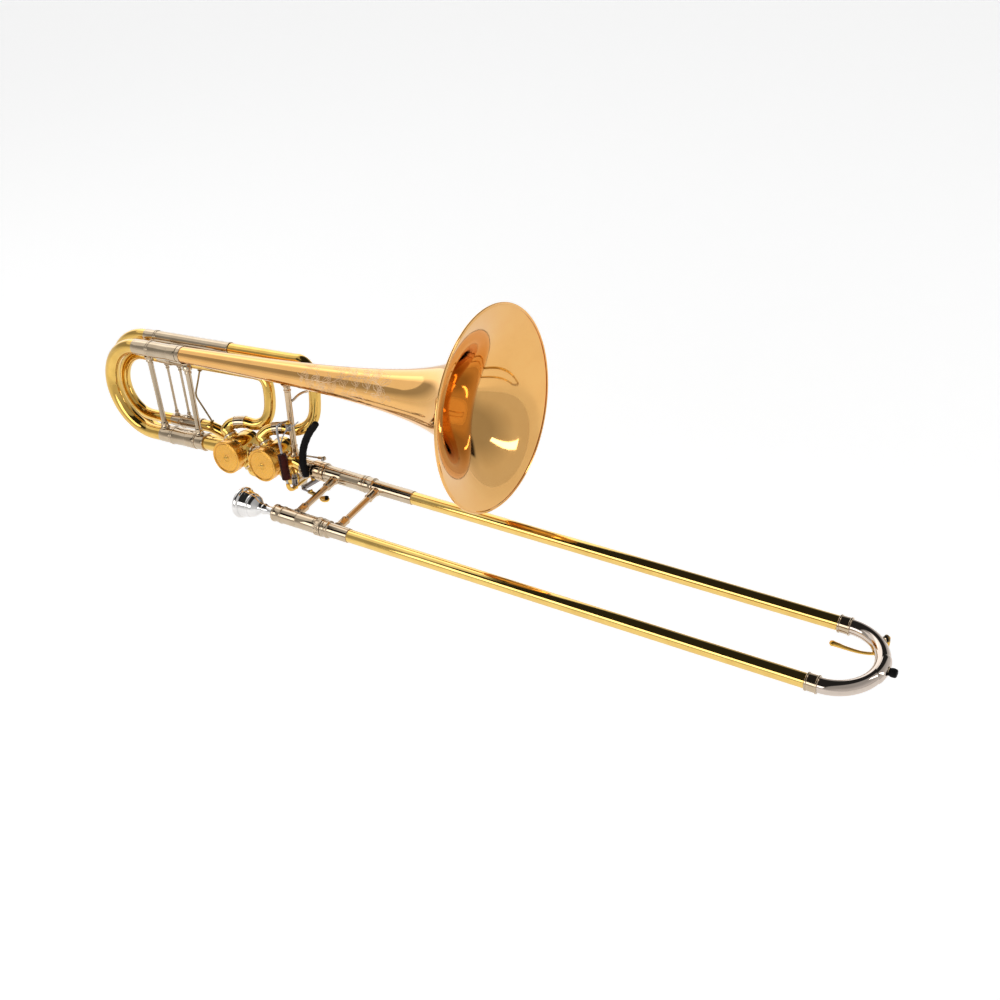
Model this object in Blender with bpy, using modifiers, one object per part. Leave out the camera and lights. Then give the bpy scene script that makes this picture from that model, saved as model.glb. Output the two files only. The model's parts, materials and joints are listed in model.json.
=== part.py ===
"""Bass trombone with two in-line rotary valves.

Frame: +X towards the bell mouth and the slide bow, +Z up, +Y to the player's left. The
origin is the middle of the left-hand grip brace. Lengths below are millimetres, turned
into metres where the shapes are made.

The hand slide lies in the XY plane. The bell section is built in its own frame, whose
x axis is the line through the valves, z points to the bell and y to the player's left.
That frame is turned a little in the bell lock and pitched by the bend of the neck.
"""
from math import cos, pi, radians, sin

import bmesh
import bpy
from mathutils import Matrix, Vector

MM = 0.001
GAP = 0.3
TUBE_WALL = 0.7

# Hand slide
SLIDE_WIDTH = 94.2
SIDE = SLIDE_WIDTH / 2
INNER_TUBE_RADIUS = 7.45
OUTER_TUBE_BORE = 7.8
OUTER_TUBE_RADIUS = 8.2
BARREL_RADIUS = 10.3
SLEEVE_RADIUS = 8.95
RING_RADIUS = 11.0
RECEIVER_X = -27.6
BOW_X = 667.6
FERRULE_X = 656.0
FERRULE_RADIUS = 9.3
BUMPER_X = BOW_X + SIDE + OUTER_TUBE_RADIUS + GAP
OUTER_BRACE_X = 63.4
LOCK_RING_X = 38.0
WATER_KEY_ANGLE = radians(50)

# Bell section frame
NECK_PIVOT_X = -106.5
TURN_IN_LOCK = radians(-11.8)
NECK_PITCH = radians(-3.94)

# Bell
BELL_HEIGHT = 121.3
BELL_RIM_X = 346.8
BELL_RIM_RADIUS = 120.65
BELL_TAIL_X = -140.7
BELL_FLARE_LENGTH = 29.7
BELL_FLARE_POWER = 0.85
BELL_WALL = 0.8

# Main line and valves
LEG_RADIUS = 9.6
NECK_RADIUS = 9.8
MAIN_BOW_RADIUS = 10.2
MAIN_BOW_UPPER_X = -220.0
MAIN_BOW_LOWER_X = -209.0
UPPER_SLEEVE_X = -193.0
LOWER_SLEEVE_X = -174.0
UPPER_SLEEVE_END_X = -141.0
LOWER_SLEEVE_END_X = -132.0
TUNING_BRACE_X = (-188.0, -200.0)
REAR_BRACE_X = (-126.0, -132.0)
BELL_BRACE_X = 38.0
VALVE_X = (-55.5, 5.3)
CASING_RADIUS = 21.0
CASING_FRONT = -24.0
CASING_BACK = 22.0
PORT_REACH = 26.5
PORT_GAP = 0.5
LOOP_PORT_ANGLE = radians(128)
ROTOR_RADIUS = 17.9
BACK_WALL = 3.0
SPINDLE_RADIUS = 3.2
STOP_ARM_REACH = 9.4
LINK_ROD_SIDE = 33.5

# Loop tubes
LOOP_RADIUS = 7.8
LOOP_LEG_RADIUS = 7.1
LOOP_SLEEVE_RADIUS = 8.3

F_UPPER = (25.0, 101.0)
F_LOWER = (25.0, 12.0)
F_BOW_X = -236.0
F_UPPER_SLEEVE = (-184.0, -150.0)
F_LOWER_SLEEVE = (-176.0, -142.0)
G_UPPER = (34.0, 126.0)
G_LOWER = (40.0, -16.0)
G_BOW_X = -236.0
G_UPPER_SLEEVE = (-213.0, -81.0)
G_LOWER_SLEEVE = (-213.0, -150.0)

# Thumb levers
WIRE_RADIUS = 1.5
SPRING_WIRE_RADIUS = 0.5
SPRING_RADIUS = 2.9
LINK_ROD_RADIUS = 1.4
STOP_ARM_ANGLE = radians(238)
F_LEVER_AXIS = (45.6, -15.0)
G_LEVER_AXIS = (60.0, -26.0)

# Finishes: colour, roughness, metallic value
BRASS = ((0.80, 0.56, 0.20), 0.22, 1.0)
ROSE_BRASS = ((0.78, 0.47, 0.25), 0.2, 1.0)
GOLD = ((0.90, 0.60, 0.22), 0.3, 1.0)
NICKEL = ((0.62, 0.56, 0.47), 0.2, 1.0)
SILVER = ((0.85, 0.85, 0.86), 0.08, 1.0)
STEEL = ((0.55, 0.56, 0.58), 0.25, 1.0)
RUBBER = ((0.02, 0.02, 0.02), 0.7, 0.0)
BLACK_LEATHER = ((0.025, 0.022, 0.022), 0.6, 0.0)
RED_LEATHER = ((0.16, 0.03, 0.025), 0.6, 0.0)


def clear_scene():
    for obj in list(bpy.data.objects):
        bpy.data.objects.remove(obj, do_unlink=True)


def collection(name):
    group = bpy.data.collections.new(name)
    bpy.context.scene.collection.children.link(group)
    return group


clear_scene()
TROMBONE = collection("trombone")
CUTTERS = collection("cutters")


def material(name, finish):
    """A Principled material, named after its node, in one of the finishes."""
    colour, roughness, metallic = finish
    mat = bpy.data.materials.new(name)
    mat.use_nodes = True
    shader = mat.node_tree.nodes["Principled BSDF"]
    shader.inputs["Base Color"].default_value = (*colour, 1.0)
    shader.inputs["Roughness"].default_value = roughness
    shader.inputs["Metallic"].default_value = metallic
    mat.diffuse_color = (*colour, 1.0)
    return mat


def place(obj, point, axis, parent):
    """Put an object at a point with its own Z axis along the given axis."""
    obj.parent = parent
    obj.location = Vector(point) * MM
    obj.rotation_mode = "QUATERNION"
    obj.rotation_quaternion = Vector(axis).to_track_quat("Z", "Y")


def empty(name, point, parent=None):
    obj = bpy.data.objects.new(name, None)
    obj.location = Vector(point) * MM
    obj.parent = parent
    TROMBONE.objects.link(obj)
    return obj


def turned(name, outline, point, axis, finish, parent=None, steps=16, closed=True):
    """Turn an outline of (radius, height) pairs about an axis.

    The outline runs down the outer side. A closed outline makes a ring or tube, an open
    one starts and ends on the axis and makes a solid.
    """
    mesh = bpy.data.meshes.new(name)
    verts = [(radius * MM, 0.0, height * MM) for radius, height in outline]
    edges = [(i, i + 1) for i in range(len(verts) - 1)]
    if closed:
        edges.append((len(verts) - 1, 0))
    mesh.from_pydata(verts, edges, [])
    obj = bpy.data.objects.new(name, mesh)
    TROMBONE.objects.link(obj)
    mesh.materials.append(material(name, finish))
    screw = obj.modifiers.new("turn", "SCREW")
    screw.axis = "Z"
    screw.steps = steps
    screw.render_steps = steps
    screw.use_merge_vertices = True
    screw.merge_threshold = 0.00001
    screw.use_smooth_shade = True
    place(obj, point, axis, parent)
    return obj


def tube(name, start, length, outer, inner, finish, parent=None, axis=(1, 0, 0), steps=16):
    outline = [(outer, length), (outer, 0), (inner, 0), (inner, length)]
    return turned(name, outline, start, axis, finish, parent, steps)


def cylinder(name, centre, axis, radius, length, parent, steps=24, group=None):
    """A plain cylinder about a centre, used for casings and for the shapes that cut them."""
    mesh = bpy.data.meshes.new(name)
    shape = bmesh.new()
    bmesh.ops.create_cone(shape, cap_ends=True, segments=steps, radius1=radius * MM, radius2=radius * MM,
                          depth=length * MM)
    shape.to_mesh(mesh)
    shape.free()
    mesh.shade_smooth()
    obj = bpy.data.objects.new(name, mesh)
    (group or CUTTERS).objects.link(obj)
    place(obj, centre, axis, parent)
    if group is None:
        obj.hide_render = True
        obj.display_type = "WIRE"
    return obj


def combine(obj, cutter, operation):
    boolean = obj.modifiers.new(operation.lower(), "BOOLEAN")
    boolean.operation = operation
    boolean.object = cutter
    boolean.solver = "EXACT"


def smooth_route(points, steps):
    """Points along a smooth curve through the given points."""
    route = [Vector(p) for p in points]
    route = [2 * route[0] - route[1]] + route + [2 * route[-1] - route[-2]]
    out = []
    for a, b, c, d in zip(route, route[1:], route[2:], route[3:]):
        for i in range(steps):
            t = i / steps
            out.append(0.5 * (2 * b + (c - a) * t + (2 * a - 5 * b + 4 * c - d) * t * t
                              + (3 * b - a - 3 * c + d) * t ** 3))
    out.append(route[-2])
    return out


def rod(name, points, radius, finish, parent=None, resolution=2, scales=None, wall=0.0):
    """A round rod along a route of points, or a tube where a wall thickness is given."""
    curve = bpy.data.curves.new(name, "CURVE")
    curve.dimensions = "3D"
    curve.bevel_depth = radius * MM
    curve.bevel_resolution = resolution
    curve.use_fill_caps = not wall
    spline = curve.splines.new("POLY")
    spline.points.add(len(points) - 1)
    for i, point in enumerate(points):
        spline.points[i].co = (*(Vector(point) * MM), 1.0)
        spline.points[i].radius = scales[i] if scales else 1.0
    spline.use_smooth = True
    curve.materials.append(material(name, finish))
    obj = bpy.data.objects.new(name, curve)
    obj.parent = parent
    TROMBONE.objects.link(obj)
    if wall:
        shell = obj.modifiers.new("wall", "SOLIDIFY")
        shell.thickness = wall * MM
        shell.offset = -1
    return obj


def bent_tube(name, points, radius, finish, parent=None, scales=None):
    return rod(name, points, radius, finish, parent, 3, scales, TUBE_WALL)


def half_turn(centre, start, end, outward, steps=12):
    """Points of a U bend from start to end, bulging along the outward direction."""
    centre = Vector(centre)
    arm = (Vector(start) - Vector(end)) / 2
    out = Vector(outward).normalized() * arm.length
    angles = [pi * i / steps for i in range(steps + 1)]
    return [centre + arm * cos(a) + out * sin(a) for a in angles]


def plate(name, outlines, thickness, finish, point, parent):
    """An upright flat plate from closed outlines, the first its edge and the others its holes."""
    curve = bpy.data.curves.new(name, "CURVE")
    curve.dimensions = "2D"
    curve.fill_mode = "BOTH"
    curve.extrude = thickness / 2 * MM
    for outline in outlines:
        spline = curve.splines.new("POLY")
        spline.points.add(len(outline) - 1)
        spline.use_cyclic_u = True
        for i, (x, y) in enumerate(outline):
            spline.points[i].co = (x * MM, y * MM, 0.0, 1.0)
    curve.materials.append(material(name, finish))
    obj = bpy.data.objects.new(name, curve)
    obj.parent = parent
    obj.location = Vector(point) * MM
    obj.rotation_euler = (pi / 2, 0, 0)
    TROMBONE.objects.link(obj)
    return obj


def circle(radius, centre=(0, 0), steps=20, start=0.0, sweep=2 * pi):
    count = steps if sweep >= 2 * pi else steps + 1
    return [(centre[0] + radius * cos(start + sweep * i / steps),
             centre[1] + radius * sin(start + sweep * i / steps)) for i in range(count)]


def bell_radius(x):
    """Outside radius of the bell at a place along its axis."""
    back = BELL_RIM_X - x
    return BELL_RIM_RADIUS * (1 + back / BELL_FLARE_LENGTH) ** -BELL_FLARE_POWER


# ---------------------------------------------------------------- bell section
BELL_SECTION = empty("bell_section", (NECK_PIVOT_X, SIDE, 0))
TURN = Matrix.Rotation(TURN_IN_LOCK, 4, "X")
PITCH = Matrix.Rotation(NECK_PITCH, 4, "Y")
BELL_SECTION.rotation_euler = (TURN @ PITCH).to_euler()
SECTION_TO_WORLD = Matrix.Translation((NECK_PIVOT_X, SIDE, 0)) @ TURN @ PITCH


def build_bell():
    count = 12
    length = BELL_RIM_X - BELL_TAIL_X
    shares = [1 - (1 - i / count) ** 2.6 for i in range(count + 1)]
    outer = [(bell_radius(BELL_TAIL_X + length * s), length * s) for s in shares]
    inner = [(radius - BELL_WALL, height) for radius, height in outer]
    bead = [(BELL_RIM_RADIUS + 1.2, length + 0.4), (BELL_RIM_RADIUS + 1.2, length - 2.0)]
    lip = (BELL_RIM_RADIUS - 2.4, length + 0.9)
    outline = [lip] + bead + outer[-2::-1] + inner[:-1]
    turned("bell", outline, (BELL_TAIL_X, 0, BELL_HEIGHT), (1, 0, 0), ROSE_BRASS, BELL_SECTION, 32)


def build_main_tuning_slide():
    def sleeve(name, start, end, height):
        length = end - start - GAP
        bead = RING_RADIUS + 0.7
        outline = [(RING_RADIUS, length), (RING_RADIUS, 2.6), (bead, 2.2), (bead, 0),
                   (LEG_RADIUS + 0.5, 0), (LEG_RADIUS + 0.5, length)]
        turned(name, outline, (start, 0, height), (1, 0, 0), NICKEL, BELL_SECTION)

    sleeve("upper_tuning_sleeve", UPPER_SLEEVE_X, UPPER_SLEEVE_END_X, BELL_HEIGHT)
    sleeve("lower_tuning_sleeve", LOWER_SLEEVE_X, LOWER_SLEEVE_END_X, 0)
    thin = LEG_RADIUS / MAIN_BOW_RADIUS
    top = Vector((MAIN_BOW_UPPER_X, 0, BELL_HEIGHT))
    bottom = Vector((MAIN_BOW_LOWER_X, 0, 0))
    bend = half_turn((top + bottom) / 2, top, bottom, (-1, 0, 0))
    upper = [(UPPER_SLEEVE_END_X - 5, 0, BELL_HEIGHT), (UPPER_SLEEVE_X - 0.2, 0, BELL_HEIGHT),
             (UPPER_SLEEVE_X - 0.9, 0, BELL_HEIGHT)]
    lower = [(LOWER_SLEEVE_X - 0.9, 0, 0), (LOWER_SLEEVE_X - 0.2, 0, 0),
             (LOWER_SLEEVE_END_X - 5, 0, 0)]
    scales = [thin, thin, 1.0] + [1.0] * len(bend) + [1.0, thin, thin]
    bent_tube("main_tuning_bow", upper + bend + lower, MAIN_BOW_RADIUS, BRASS, BELL_SECTION, scales)
    low, high = TUNING_BRACE_X
    brace("tuning_slide_brace", (low, 0), MAIN_BOW_RADIUS, (high, BELL_HEIGHT), MAIN_BOW_RADIUS, 3.6,
          5.4)


def brace(name, low, low_radius, high, high_radius, radius, foot, side=0.0, high_side=None):
    """A turned brace with a thicker foot at each end, standing between two tubes."""
    high_side = side if high_side is None else high_side
    start = Vector((low[0], side, low[1]))
    end = Vector((high[0], high_side, high[1]))
    axis = (end - start).normalized()
    clearance = GAP + 0.25 + foot * abs(axis.x)
    start += axis * (low_radius + clearance)
    end -= axis * (high_radius + clearance)
    length = (end - start).length
    flare = 5.0
    outline = [(0, length), (foot, length), (foot, length - 1.6), (radius, length - flare),
               (radius, flare), (foot, 1.6), (foot, 0), (0, 0)]
    turned(name, outline, start, axis, NICKEL, BELL_SECTION, 14, False)


def port_direction(angle):
    """The direction at an angle round a valve, counted up from the bell section's x axis."""
    return Vector((cos(angle), 0, sin(angle)))


def build_valve(number, centre_x):
    name = f"valve_{number}"
    centre = Vector((centre_x, 0, 0))
    back = (0, 1, 0)
    depth = CASING_BACK - CASING_FRONT
    middle = centre + Vector((0, (CASING_FRONT + CASING_BACK) / 2, 0))
    front = centre + Vector((0, CASING_FRONT, 0))
    casing = cylinder(name + "_casing", middle, back, CASING_RADIUS, depth, BELL_SECTION, 20, TROMBONE)
    casing.data.materials.append(material(casing.name, BRASS))
    main = port_direction(0)
    loop = port_direction(LOOP_PORT_ANGLE)
    for label, axis, radius in (("main", main, 10.4), ("loop", loop, 8.7)):
        stub = cylinder(f"{name}_{label}_stub", centre, axis, radius, 2 * PORT_REACH, BELL_SECTION, 14)
        combine(casing, stub, "UNION")
    bore_middle = middle - Vector((0, BACK_WALL, 0))
    bore = cylinder(name + "_bore", bore_middle, back, ROTOR_RADIUS + 0.5, depth, BELL_SECTION, 20)
    combine(casing, bore, "DIFFERENCE")
    bearing = cylinder(name + "_bearing", middle, back, SPINDLE_RADIUS + 0.45, depth + 4, BELL_SECTION, 12)
    combine(casing, bearing, "DIFFERENCE")
    for label, axis, radius in (("main", main, 8.4), ("loop", loop, 6.6)):
        reach = 2 * PORT_REACH + 8
        hole = cylinder(f"{name}_{label}_hole", centre, axis, radius, reach, BELL_SECTION, 14)
        combine(casing, hole, "DIFFERENCE")

    cap = [(0, 5.6), (3.0, 5.6), (3.2, 5.0), (19.6, 5.0), (20.0, 5.8), (21.6, 5.8), (22.3, 5.0),
           (22.3, -6.0), (CASING_RADIUS + 0.35, -6.0), (CASING_RADIUS + 0.35, 2.6), (0, 2.6)]
    turned(name + "_front_cap", cap, front, (0, -1, 0), GOLD, BELL_SECTION, 20, False)

    pivot = empty(name + "_axis", centre, BELL_SECTION)
    rotor_start = CASING_FRONT + 1.5
    rotor_length = CASING_BACK - BACK_WALL - 0.4 - rotor_start
    spindle_end = CASING_BACK + 8.0 - rotor_start
    outline = [(0, spindle_end), (SPINDLE_RADIUS, spindle_end), (SPINDLE_RADIUS, rotor_length),
               (ROTOR_RADIUS, rotor_length), (ROTOR_RADIUS, 0), (0, 0)]
    rotor = turned(name + "_rotor", outline, (0, rotor_start, 0), back, BRASS, pivot, 20, False)
    bore = cylinder(name + "_through_bore", (0, 0, 0), (1, 0, 0), 6.6, 60, pivot, 20)
    combine(rotor, bore, "DIFFERENCE")
    for label, side in (("upper", 1), ("lower", -1)):
        pocket = cylinder(f"{name}_{label}_pocket", (0, 0, side * 20.0), back, 12.0, 14, pivot)
        combine(rotor, pocket, "DIFFERENCE")

    swing = STOP_ARM_ANGLE
    tip = (STOP_ARM_REACH * cos(swing), STOP_ARM_REACH * sin(swing))
    edge = circle(6.0, (0, 0), 16, swing + pi / 3, 4 * pi / 3)
    edge += circle(3.4, tip, 8, swing - pi / 2, pi)
    eye = circle(SPINDLE_RADIUS + 0.4, (0, 0), 16)
    plate(name + "_stop_arm", [edge, eye], 2.4, BRASS, (0, CASING_BACK + 4.5, 0), pivot)


def build_main_line():
    first, second = VALVE_X
    start = LOWER_SLEEVE_END_X
    length = first - PORT_REACH - GAP - start
    outline = [(9.7, length), (9.7, 17.5), (RING_RADIUS, 17.0), (RING_RADIUS, 0), (8.6, 0),
               (8.6, length)]
    turned("valve_1_inlet_tube", outline, (start, 0, 0), (1, 0, 0), BRASS, BELL_SECTION)
    start = first + PORT_REACH + GAP
    tube("valve_joint_tube", (start, 0, 0), second - PORT_REACH - GAP - start, 9.7, 8.6, NICKEL,
         BELL_SECTION)
    start = second + PORT_REACH + PORT_GAP
    route = [SECTION_TO_WORLD @ Vector((start + d, 0, 0)) for d in (0, 4, 8)]
    route += [Vector((x, SIDE, 0)) for x in (-52, -42, -29)]
    bent_tube("gooseneck", smooth_route(route, 2), NECK_RADIUS, BRASS)


def loop_sleeve(name, span, side, height, parent):
    length = span[1] - span[0] - GAP
    bead = LOOP_SLEEVE_RADIUS + 0.7
    bore = LOOP_LEG_RADIUS + 0.45
    outline = [(bead, length), (bead, length - 2), (LOOP_SLEEVE_RADIUS, length - 2.4),
               (LOOP_SLEEVE_RADIUS, 2.4), (bead, 2), (bead, 0), (bore, 0), (bore, length)]
    turned(name, outline, (span[0], side, height), (1, 0, 0), NICKEL, parent)


def loop_bow(name, bow_x, upper, lower, upper_sleeve, lower_sleeve, insert):
    thin = LOOP_LEG_RADIUS / LOOP_RADIUS
    top = (bow_x, *upper)
    bottom = (bow_x, *lower)
    centre = (Vector(top) + Vector(bottom)) / 2
    bend = half_turn(centre, top, bottom, (-1, 0, 0))
    above = [(upper_sleeve[0] + insert, *upper), (upper_sleeve[0] - 0.2, *upper),
             (upper_sleeve[0] - 0.9, *upper)]
    below = [(lower_sleeve[0] - 0.9, *lower), (lower_sleeve[0] - 0.2, *lower),
             (lower_sleeve[0] + insert, *lower)]
    scales = [thin, thin, 1.0] + [1.0] * len(bend) + [1.0, thin, thin]
    bent_tube(name, above + bend + below, LOOP_RADIUS, BRASS, BELL_SECTION, scales)


def build_loops():
    first, second = VALVE_X
    out = port_direction(LOOP_PORT_ANGLE) * (PORT_REACH + PORT_GAP)
    into = port_direction(LOOP_PORT_ANGLE + pi) * (PORT_REACH + PORT_GAP)
    f_start = Vector((first, 0, 0)) + out
    f_end = Vector((first, 0, 0)) + into
    g_start = Vector((second, 0, 0)) + out
    g_end = Vector((second, 0, 0)) + into
    straight_out = [out.normalized() * d for d in (0, 3, 6)]
    straight_into = [into.normalized() * d for d in (0, 3, 6)]

    f_feed = [f_start + d for d in straight_out]
    f_feed += [(-70, 6, 33), (-54, 11, 36), (-36, 15, 34), (-22, 19, 41), (-16, 23, 58), (-15, 24, 85),
               (-22, 25, 98), (-36, *F_UPPER), (-50, *F_UPPER), (F_UPPER_SLEEVE[1] + GAP, *F_UPPER)]
    bent_tube("f_loop_feed_tube", smooth_route(f_feed, 2), LOOP_RADIUS, BRASS, BELL_SECTION)
    f_return = [f_end + d for d in straight_into]
    f_return += [(-32, 9, -30), (-36, 23, -32), (-54, 32, -27), (-84, 30, -9), (-108, 28, 4),
                 (-126, 25.5, 11), (-136, *F_LOWER), (F_LOWER_SLEEVE[1] + GAP, *F_LOWER)]
    bent_tube("f_loop_return_tube", smooth_route(f_return, 2), LOOP_RADIUS, BRASS, BELL_SECTION)
    loop_sleeve("f_upper_sleeve", F_UPPER_SLEEVE, *F_UPPER, BELL_SECTION)
    loop_sleeve("f_lower_sleeve", F_LOWER_SLEEVE, *F_LOWER, BELL_SECTION)
    loop_bow("f_tuning_bow", F_BOW_X, F_UPPER, F_LOWER, F_UPPER_SLEEVE, F_LOWER_SLEEVE, 30)

    g_feed = [g_start + d for d in straight_out]
    g_feed += [(-7, 6, 34), (10, 12, 38), (28, 17, 36), (44, 23, 42), (53, 28, 56), (56, 30, 80),
               (55, 31, 104), (50, 32, 118), (36, *G_UPPER), (16, *G_UPPER),
               (G_UPPER_SLEEVE[1] + GAP, *G_UPPER)]
    bent_tube("g_loop_feed_tube", smooth_route(g_feed, 2), LOOP_RADIUS, BRASS, BELL_SECTION)
    g_return = [g_end + d for d in straight_into]
    g_return += [(28, 9, -30), (25, 21, -36), (8, 33, -35), (-18, 44, -22), (-50, 48, -14),
                 (-88, 48, -15), (-122, *G_LOWER), (G_LOWER_SLEEVE[1] + GAP, *G_LOWER)]
    bent_tube("g_loop_return_tube", smooth_route(g_return, 2), LOOP_RADIUS, BRASS, BELL_SECTION)
    loop_sleeve("g_upper_sleeve", G_UPPER_SLEEVE, *G_UPPER, BELL_SECTION)
    loop_sleeve("g_lower_sleeve", G_LOWER_SLEEVE, *G_LOWER, BELL_SECTION)
    loop_bow("g_tuning_bow", G_BOW_X, G_UPPER, G_LOWER, G_UPPER_SLEEVE, G_LOWER_SLEEVE, 45)


def build_braces():
    low, high = REAR_BRACE_X
    brace("rear_bell_brace", (low, 0), RING_RADIUS, (high, BELL_HEIGHT), bell_radius(high) + 0.4, 3.6,
          5.4)
    brace("f_bow_brace", (-188.5, F_LOWER[1]), LOOP_RADIUS, (-194, F_UPPER[1]), LOOP_RADIUS, 1.7, 3.6,
          F_UPPER[0])
    brace("f_sleeve_brace", (-166, F_LOWER[1]), LOOP_SLEEVE_RADIUS, (-171, F_UPPER[1]),
          LOOP_SLEEVE_RADIUS, 1.7, 3.6, F_UPPER[0])
    x = BELL_BRACE_X
    brace("bell_brace", (x, 0), 10.0, (x, BELL_HEIGHT), bell_radius(x), 3.5, 5.4)
    stay = [(-134, 25, 90.5), (-146, 24, 60), (-146, 24, 50), (-124, 25, 21)]
    rod("f_loop_stay", stay, 1.2, STEEL, BELL_SECTION)
    strut = [(42.5, 3, 84), (46, 10, 89), (49, 17, 91), (51, 21.2, 91)]
    rod("loop_strut", smooth_route(strut, 2), 1.6, NICKEL, BELL_SECTION)


def build_levers():
    x, y = F_LEVER_AXIS
    barrel_top = 50.0
    tube("f_lever_upper_hinge", (x, y, barrel_top), 9, 3.6, 1.9, NICKEL, BELL_SECTION, (0, 0, 1), 14)
    tube("f_lever_lower_hinge", (x, y, -24.0), 9, 3.6, 1.9, NICKEL, BELL_SECTION, (0, 0, 1), 14)
    pivot = empty("f_lever_axis", (x, y, 0), BELL_SECTION)
    wire = [(0, 0, barrel_top + 1), (0, 0, barrel_top + 11), (-3, -9, barrel_top + 13),
            (-6, -14, barrel_top + 8), (-2, -16, 26), (1.5, -16, -14), (1.5, -13, -24), (1, -6, -28),
            (0, 0, -27.5), (0, 0, -16)]
    rod("f_lever", wire, WIRE_RADIUS, STEEL, pivot)
    low = Vector((1.2, -16, -10.5))
    high = Vector((-1.8, -16, 23.5))
    length = (high - low).length
    tube("f_lever_grip", low, length, 5.6, 2.2, RED_LEATHER, pivot, high - low, 18)
    reach = LINK_ROD_SIDE - y
    arm = [(0, 2.2, -27.8), (-1, reach / 2, -26.0), (-4.5, reach - 2.6, -26.0)]
    rod("f_lever_arm", arm, 1.6, BRASS, pivot)

    gx, gz = G_LEVER_AXIS
    tube("g_lever_hinge", (gx, -16, gz), 34, 3.4, 2.0, NICKEL, BELL_SECTION, (0, 1, 0), 14)
    pivot = empty("g_lever_axis", (gx, 0, gz), BELL_SECTION)
    side = LINK_ROD_SIDE - 3.4
    lever = [(29.3, -20, -5.9), (16, -20, -2.2), (5, -20, -0.3), (0.5, -18.5, 0), (0, -14, 0),
             (0, side - 4, 0), (-0.3, side, 1.5), (-3.2, side, 11), (-3.4, side, 22)]
    rod("g_lever", lever, WIRE_RADIUS, STEEL, pivot)
    paddle = [(0, 3.0), (5.2, 3.0), (6.2, 2.0), (6.2, 0.5), (5.6, 0), (0, 0)]
    turned("g_lever_paddle", paddle, (36.2, -20, -8.5), (0.2, 0, 1), GOLD, pivot, 18, False)


def coil(radius, pitch, turns, steps=8):
    count = int(turns * steps)
    return [(radius * cos(2 * pi * i / steps), radius * sin(2 * pi * i / steps), pitch * i / steps)
            for i in range(count + 1)]


def build_lever_springs():
    x, y = F_LEVER_AXIS
    route = [Vector((x, y, -14.4)) + Vector(p) for p in coil(SPRING_RADIUS, 1.5, 3)]
    rod("f_lever_spring", route, SPRING_WIRE_RADIUS, STEEL, BELL_SECTION)
    gx, gz = G_LEVER_AXIS
    route = [Vector((gx + px, 18.8 + pz, gz + py)) for px, py, pz in coil(SPRING_RADIUS, 1.5, 2)]
    rod("g_lever_spring", route, SPRING_WIRE_RADIUS, STEEL, BELL_SECTION)


def build_links():
    first, second = VALVE_X
    x, y = F_LEVER_AXIS
    pin = STOP_ARM_REACH * port_direction(STOP_ARM_ANGLE)
    side = Vector((0, LINK_ROD_SIDE, 0))
    lever_tip = Vector((x - 4.5, 0, -26.0))
    pivot = empty("f_link_axis", lever_tip + side, BELL_SECTION)
    far_end = Vector((first, 0, 0)) + pin - lever_tip
    rod("f_link_rod", [(0, 0, 0), far_end], LINK_ROD_RADIUS, STEEL, pivot)
    gx, gz = G_LEVER_AXIS
    lever_tip = Vector((gx - 3.4, 0, gz + 21))
    pivot = empty("g_link_axis", lever_tip + side, BELL_SECTION)
    far_end = Vector((second, 0, 0)) + pin - lever_tip
    rod("g_link_rod", [(0, 0, 0), far_end], LINK_ROD_RADIUS, STEEL, pivot)


def build_hand_rest():
    route = [(66, -15.5, -7), (64, -16, 10), (67, -15, 30), (76, -13.5, 49), (88, -12, 64)]
    rod("hand_rest_pad", smooth_route(route, 4), 4.7, BLACK_LEATHER, BELL_SECTION, 3)


# ---------------------------------------------------------------- inner slide
def build_inner_slide():
    for side_name, side in (("right", -1), ("left", 1)):
        start = 9.0
        tube(f"inner_tube_{side_name}", (start, side * SIDE, 0), 655 - start, INNER_TUBE_RADIUS,
             INNER_TUBE_RADIUS - 0.55, NICKEL)
    inner = INNER_TUBE_RADIUS + 0.35
    length = LOCK_RING_X - GAP - RECEIVER_X
    outline = [(BARREL_RADIUS, length), (BARREL_RADIUS, 13), (RING_RADIUS, 12.4), (RING_RADIUS, 0.6),
               (RING_RADIUS - 0.6, 0), (inner, 0), (inner, length)]
    turned("cork_barrel_right", outline, (RECEIVER_X, -SIDE, 0), (1, 0, 0), NICKEL)
    start = -28.7
    length = 42.9 - start
    nipple = 9.5
    outline = [(BARREL_RADIUS, length), (BARREL_RADIUS, 11.3), (nipple, 10.9), (nipple, 0), (inner, 0),
               (inner, length)]
    turned("cork_barrel_left", outline, (start, SIDE, 0), (1, 0, 0), NICKEL)
    cross_brace("grip_brace", 0.0, BARREL_RADIUS)


def cross_brace(name, x, tube_radius, parent=None):
    """A brace across the slide, its thicker sockets against the two tubes."""
    end = SIDE - tube_radius - GAP - 0.2
    length = 2 * end
    outline = [(0, length), (5.4, length), (5.4, length - 15), (3.5, length - 17), (3.5, 17), (5.4, 15),
               (5.4, 0), (0, 0)]
    turned(name, outline, (x, -end, 0), (0, 1, 0), NICKEL, parent, 18, False)


def build_lock_ring():
    pivot = empty("slide_lock_axis", (LOCK_RING_X, -SIDE, 0))
    inner = INNER_TUBE_RADIUS + 0.35
    outline = [(RING_RADIUS, 9.6), (RING_RADIUS + 0.5, 8.8), (RING_RADIUS + 0.5, 1.0), (RING_RADIUS, 0),
               (inner, 0), (inner, 9.6)]
    turned("slide_lock_ring", outline, (0, 0, 0), (1, 0, 0), NICKEL, pivot)


def build_bell_lock_nut():
    pivot = empty("bell_lock_axis", (-37, SIDE, 0))
    outline = [(11.4, 19), (12.4, 18), (12.4, 1), (11.4, 0), (10.4, 0), (10.4, 18.6), (10.4, 19)]
    turned("bell_lock_nut", outline, (0, 0, 0), (1, 0, 0), BRASS, pivot, 24)


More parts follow.
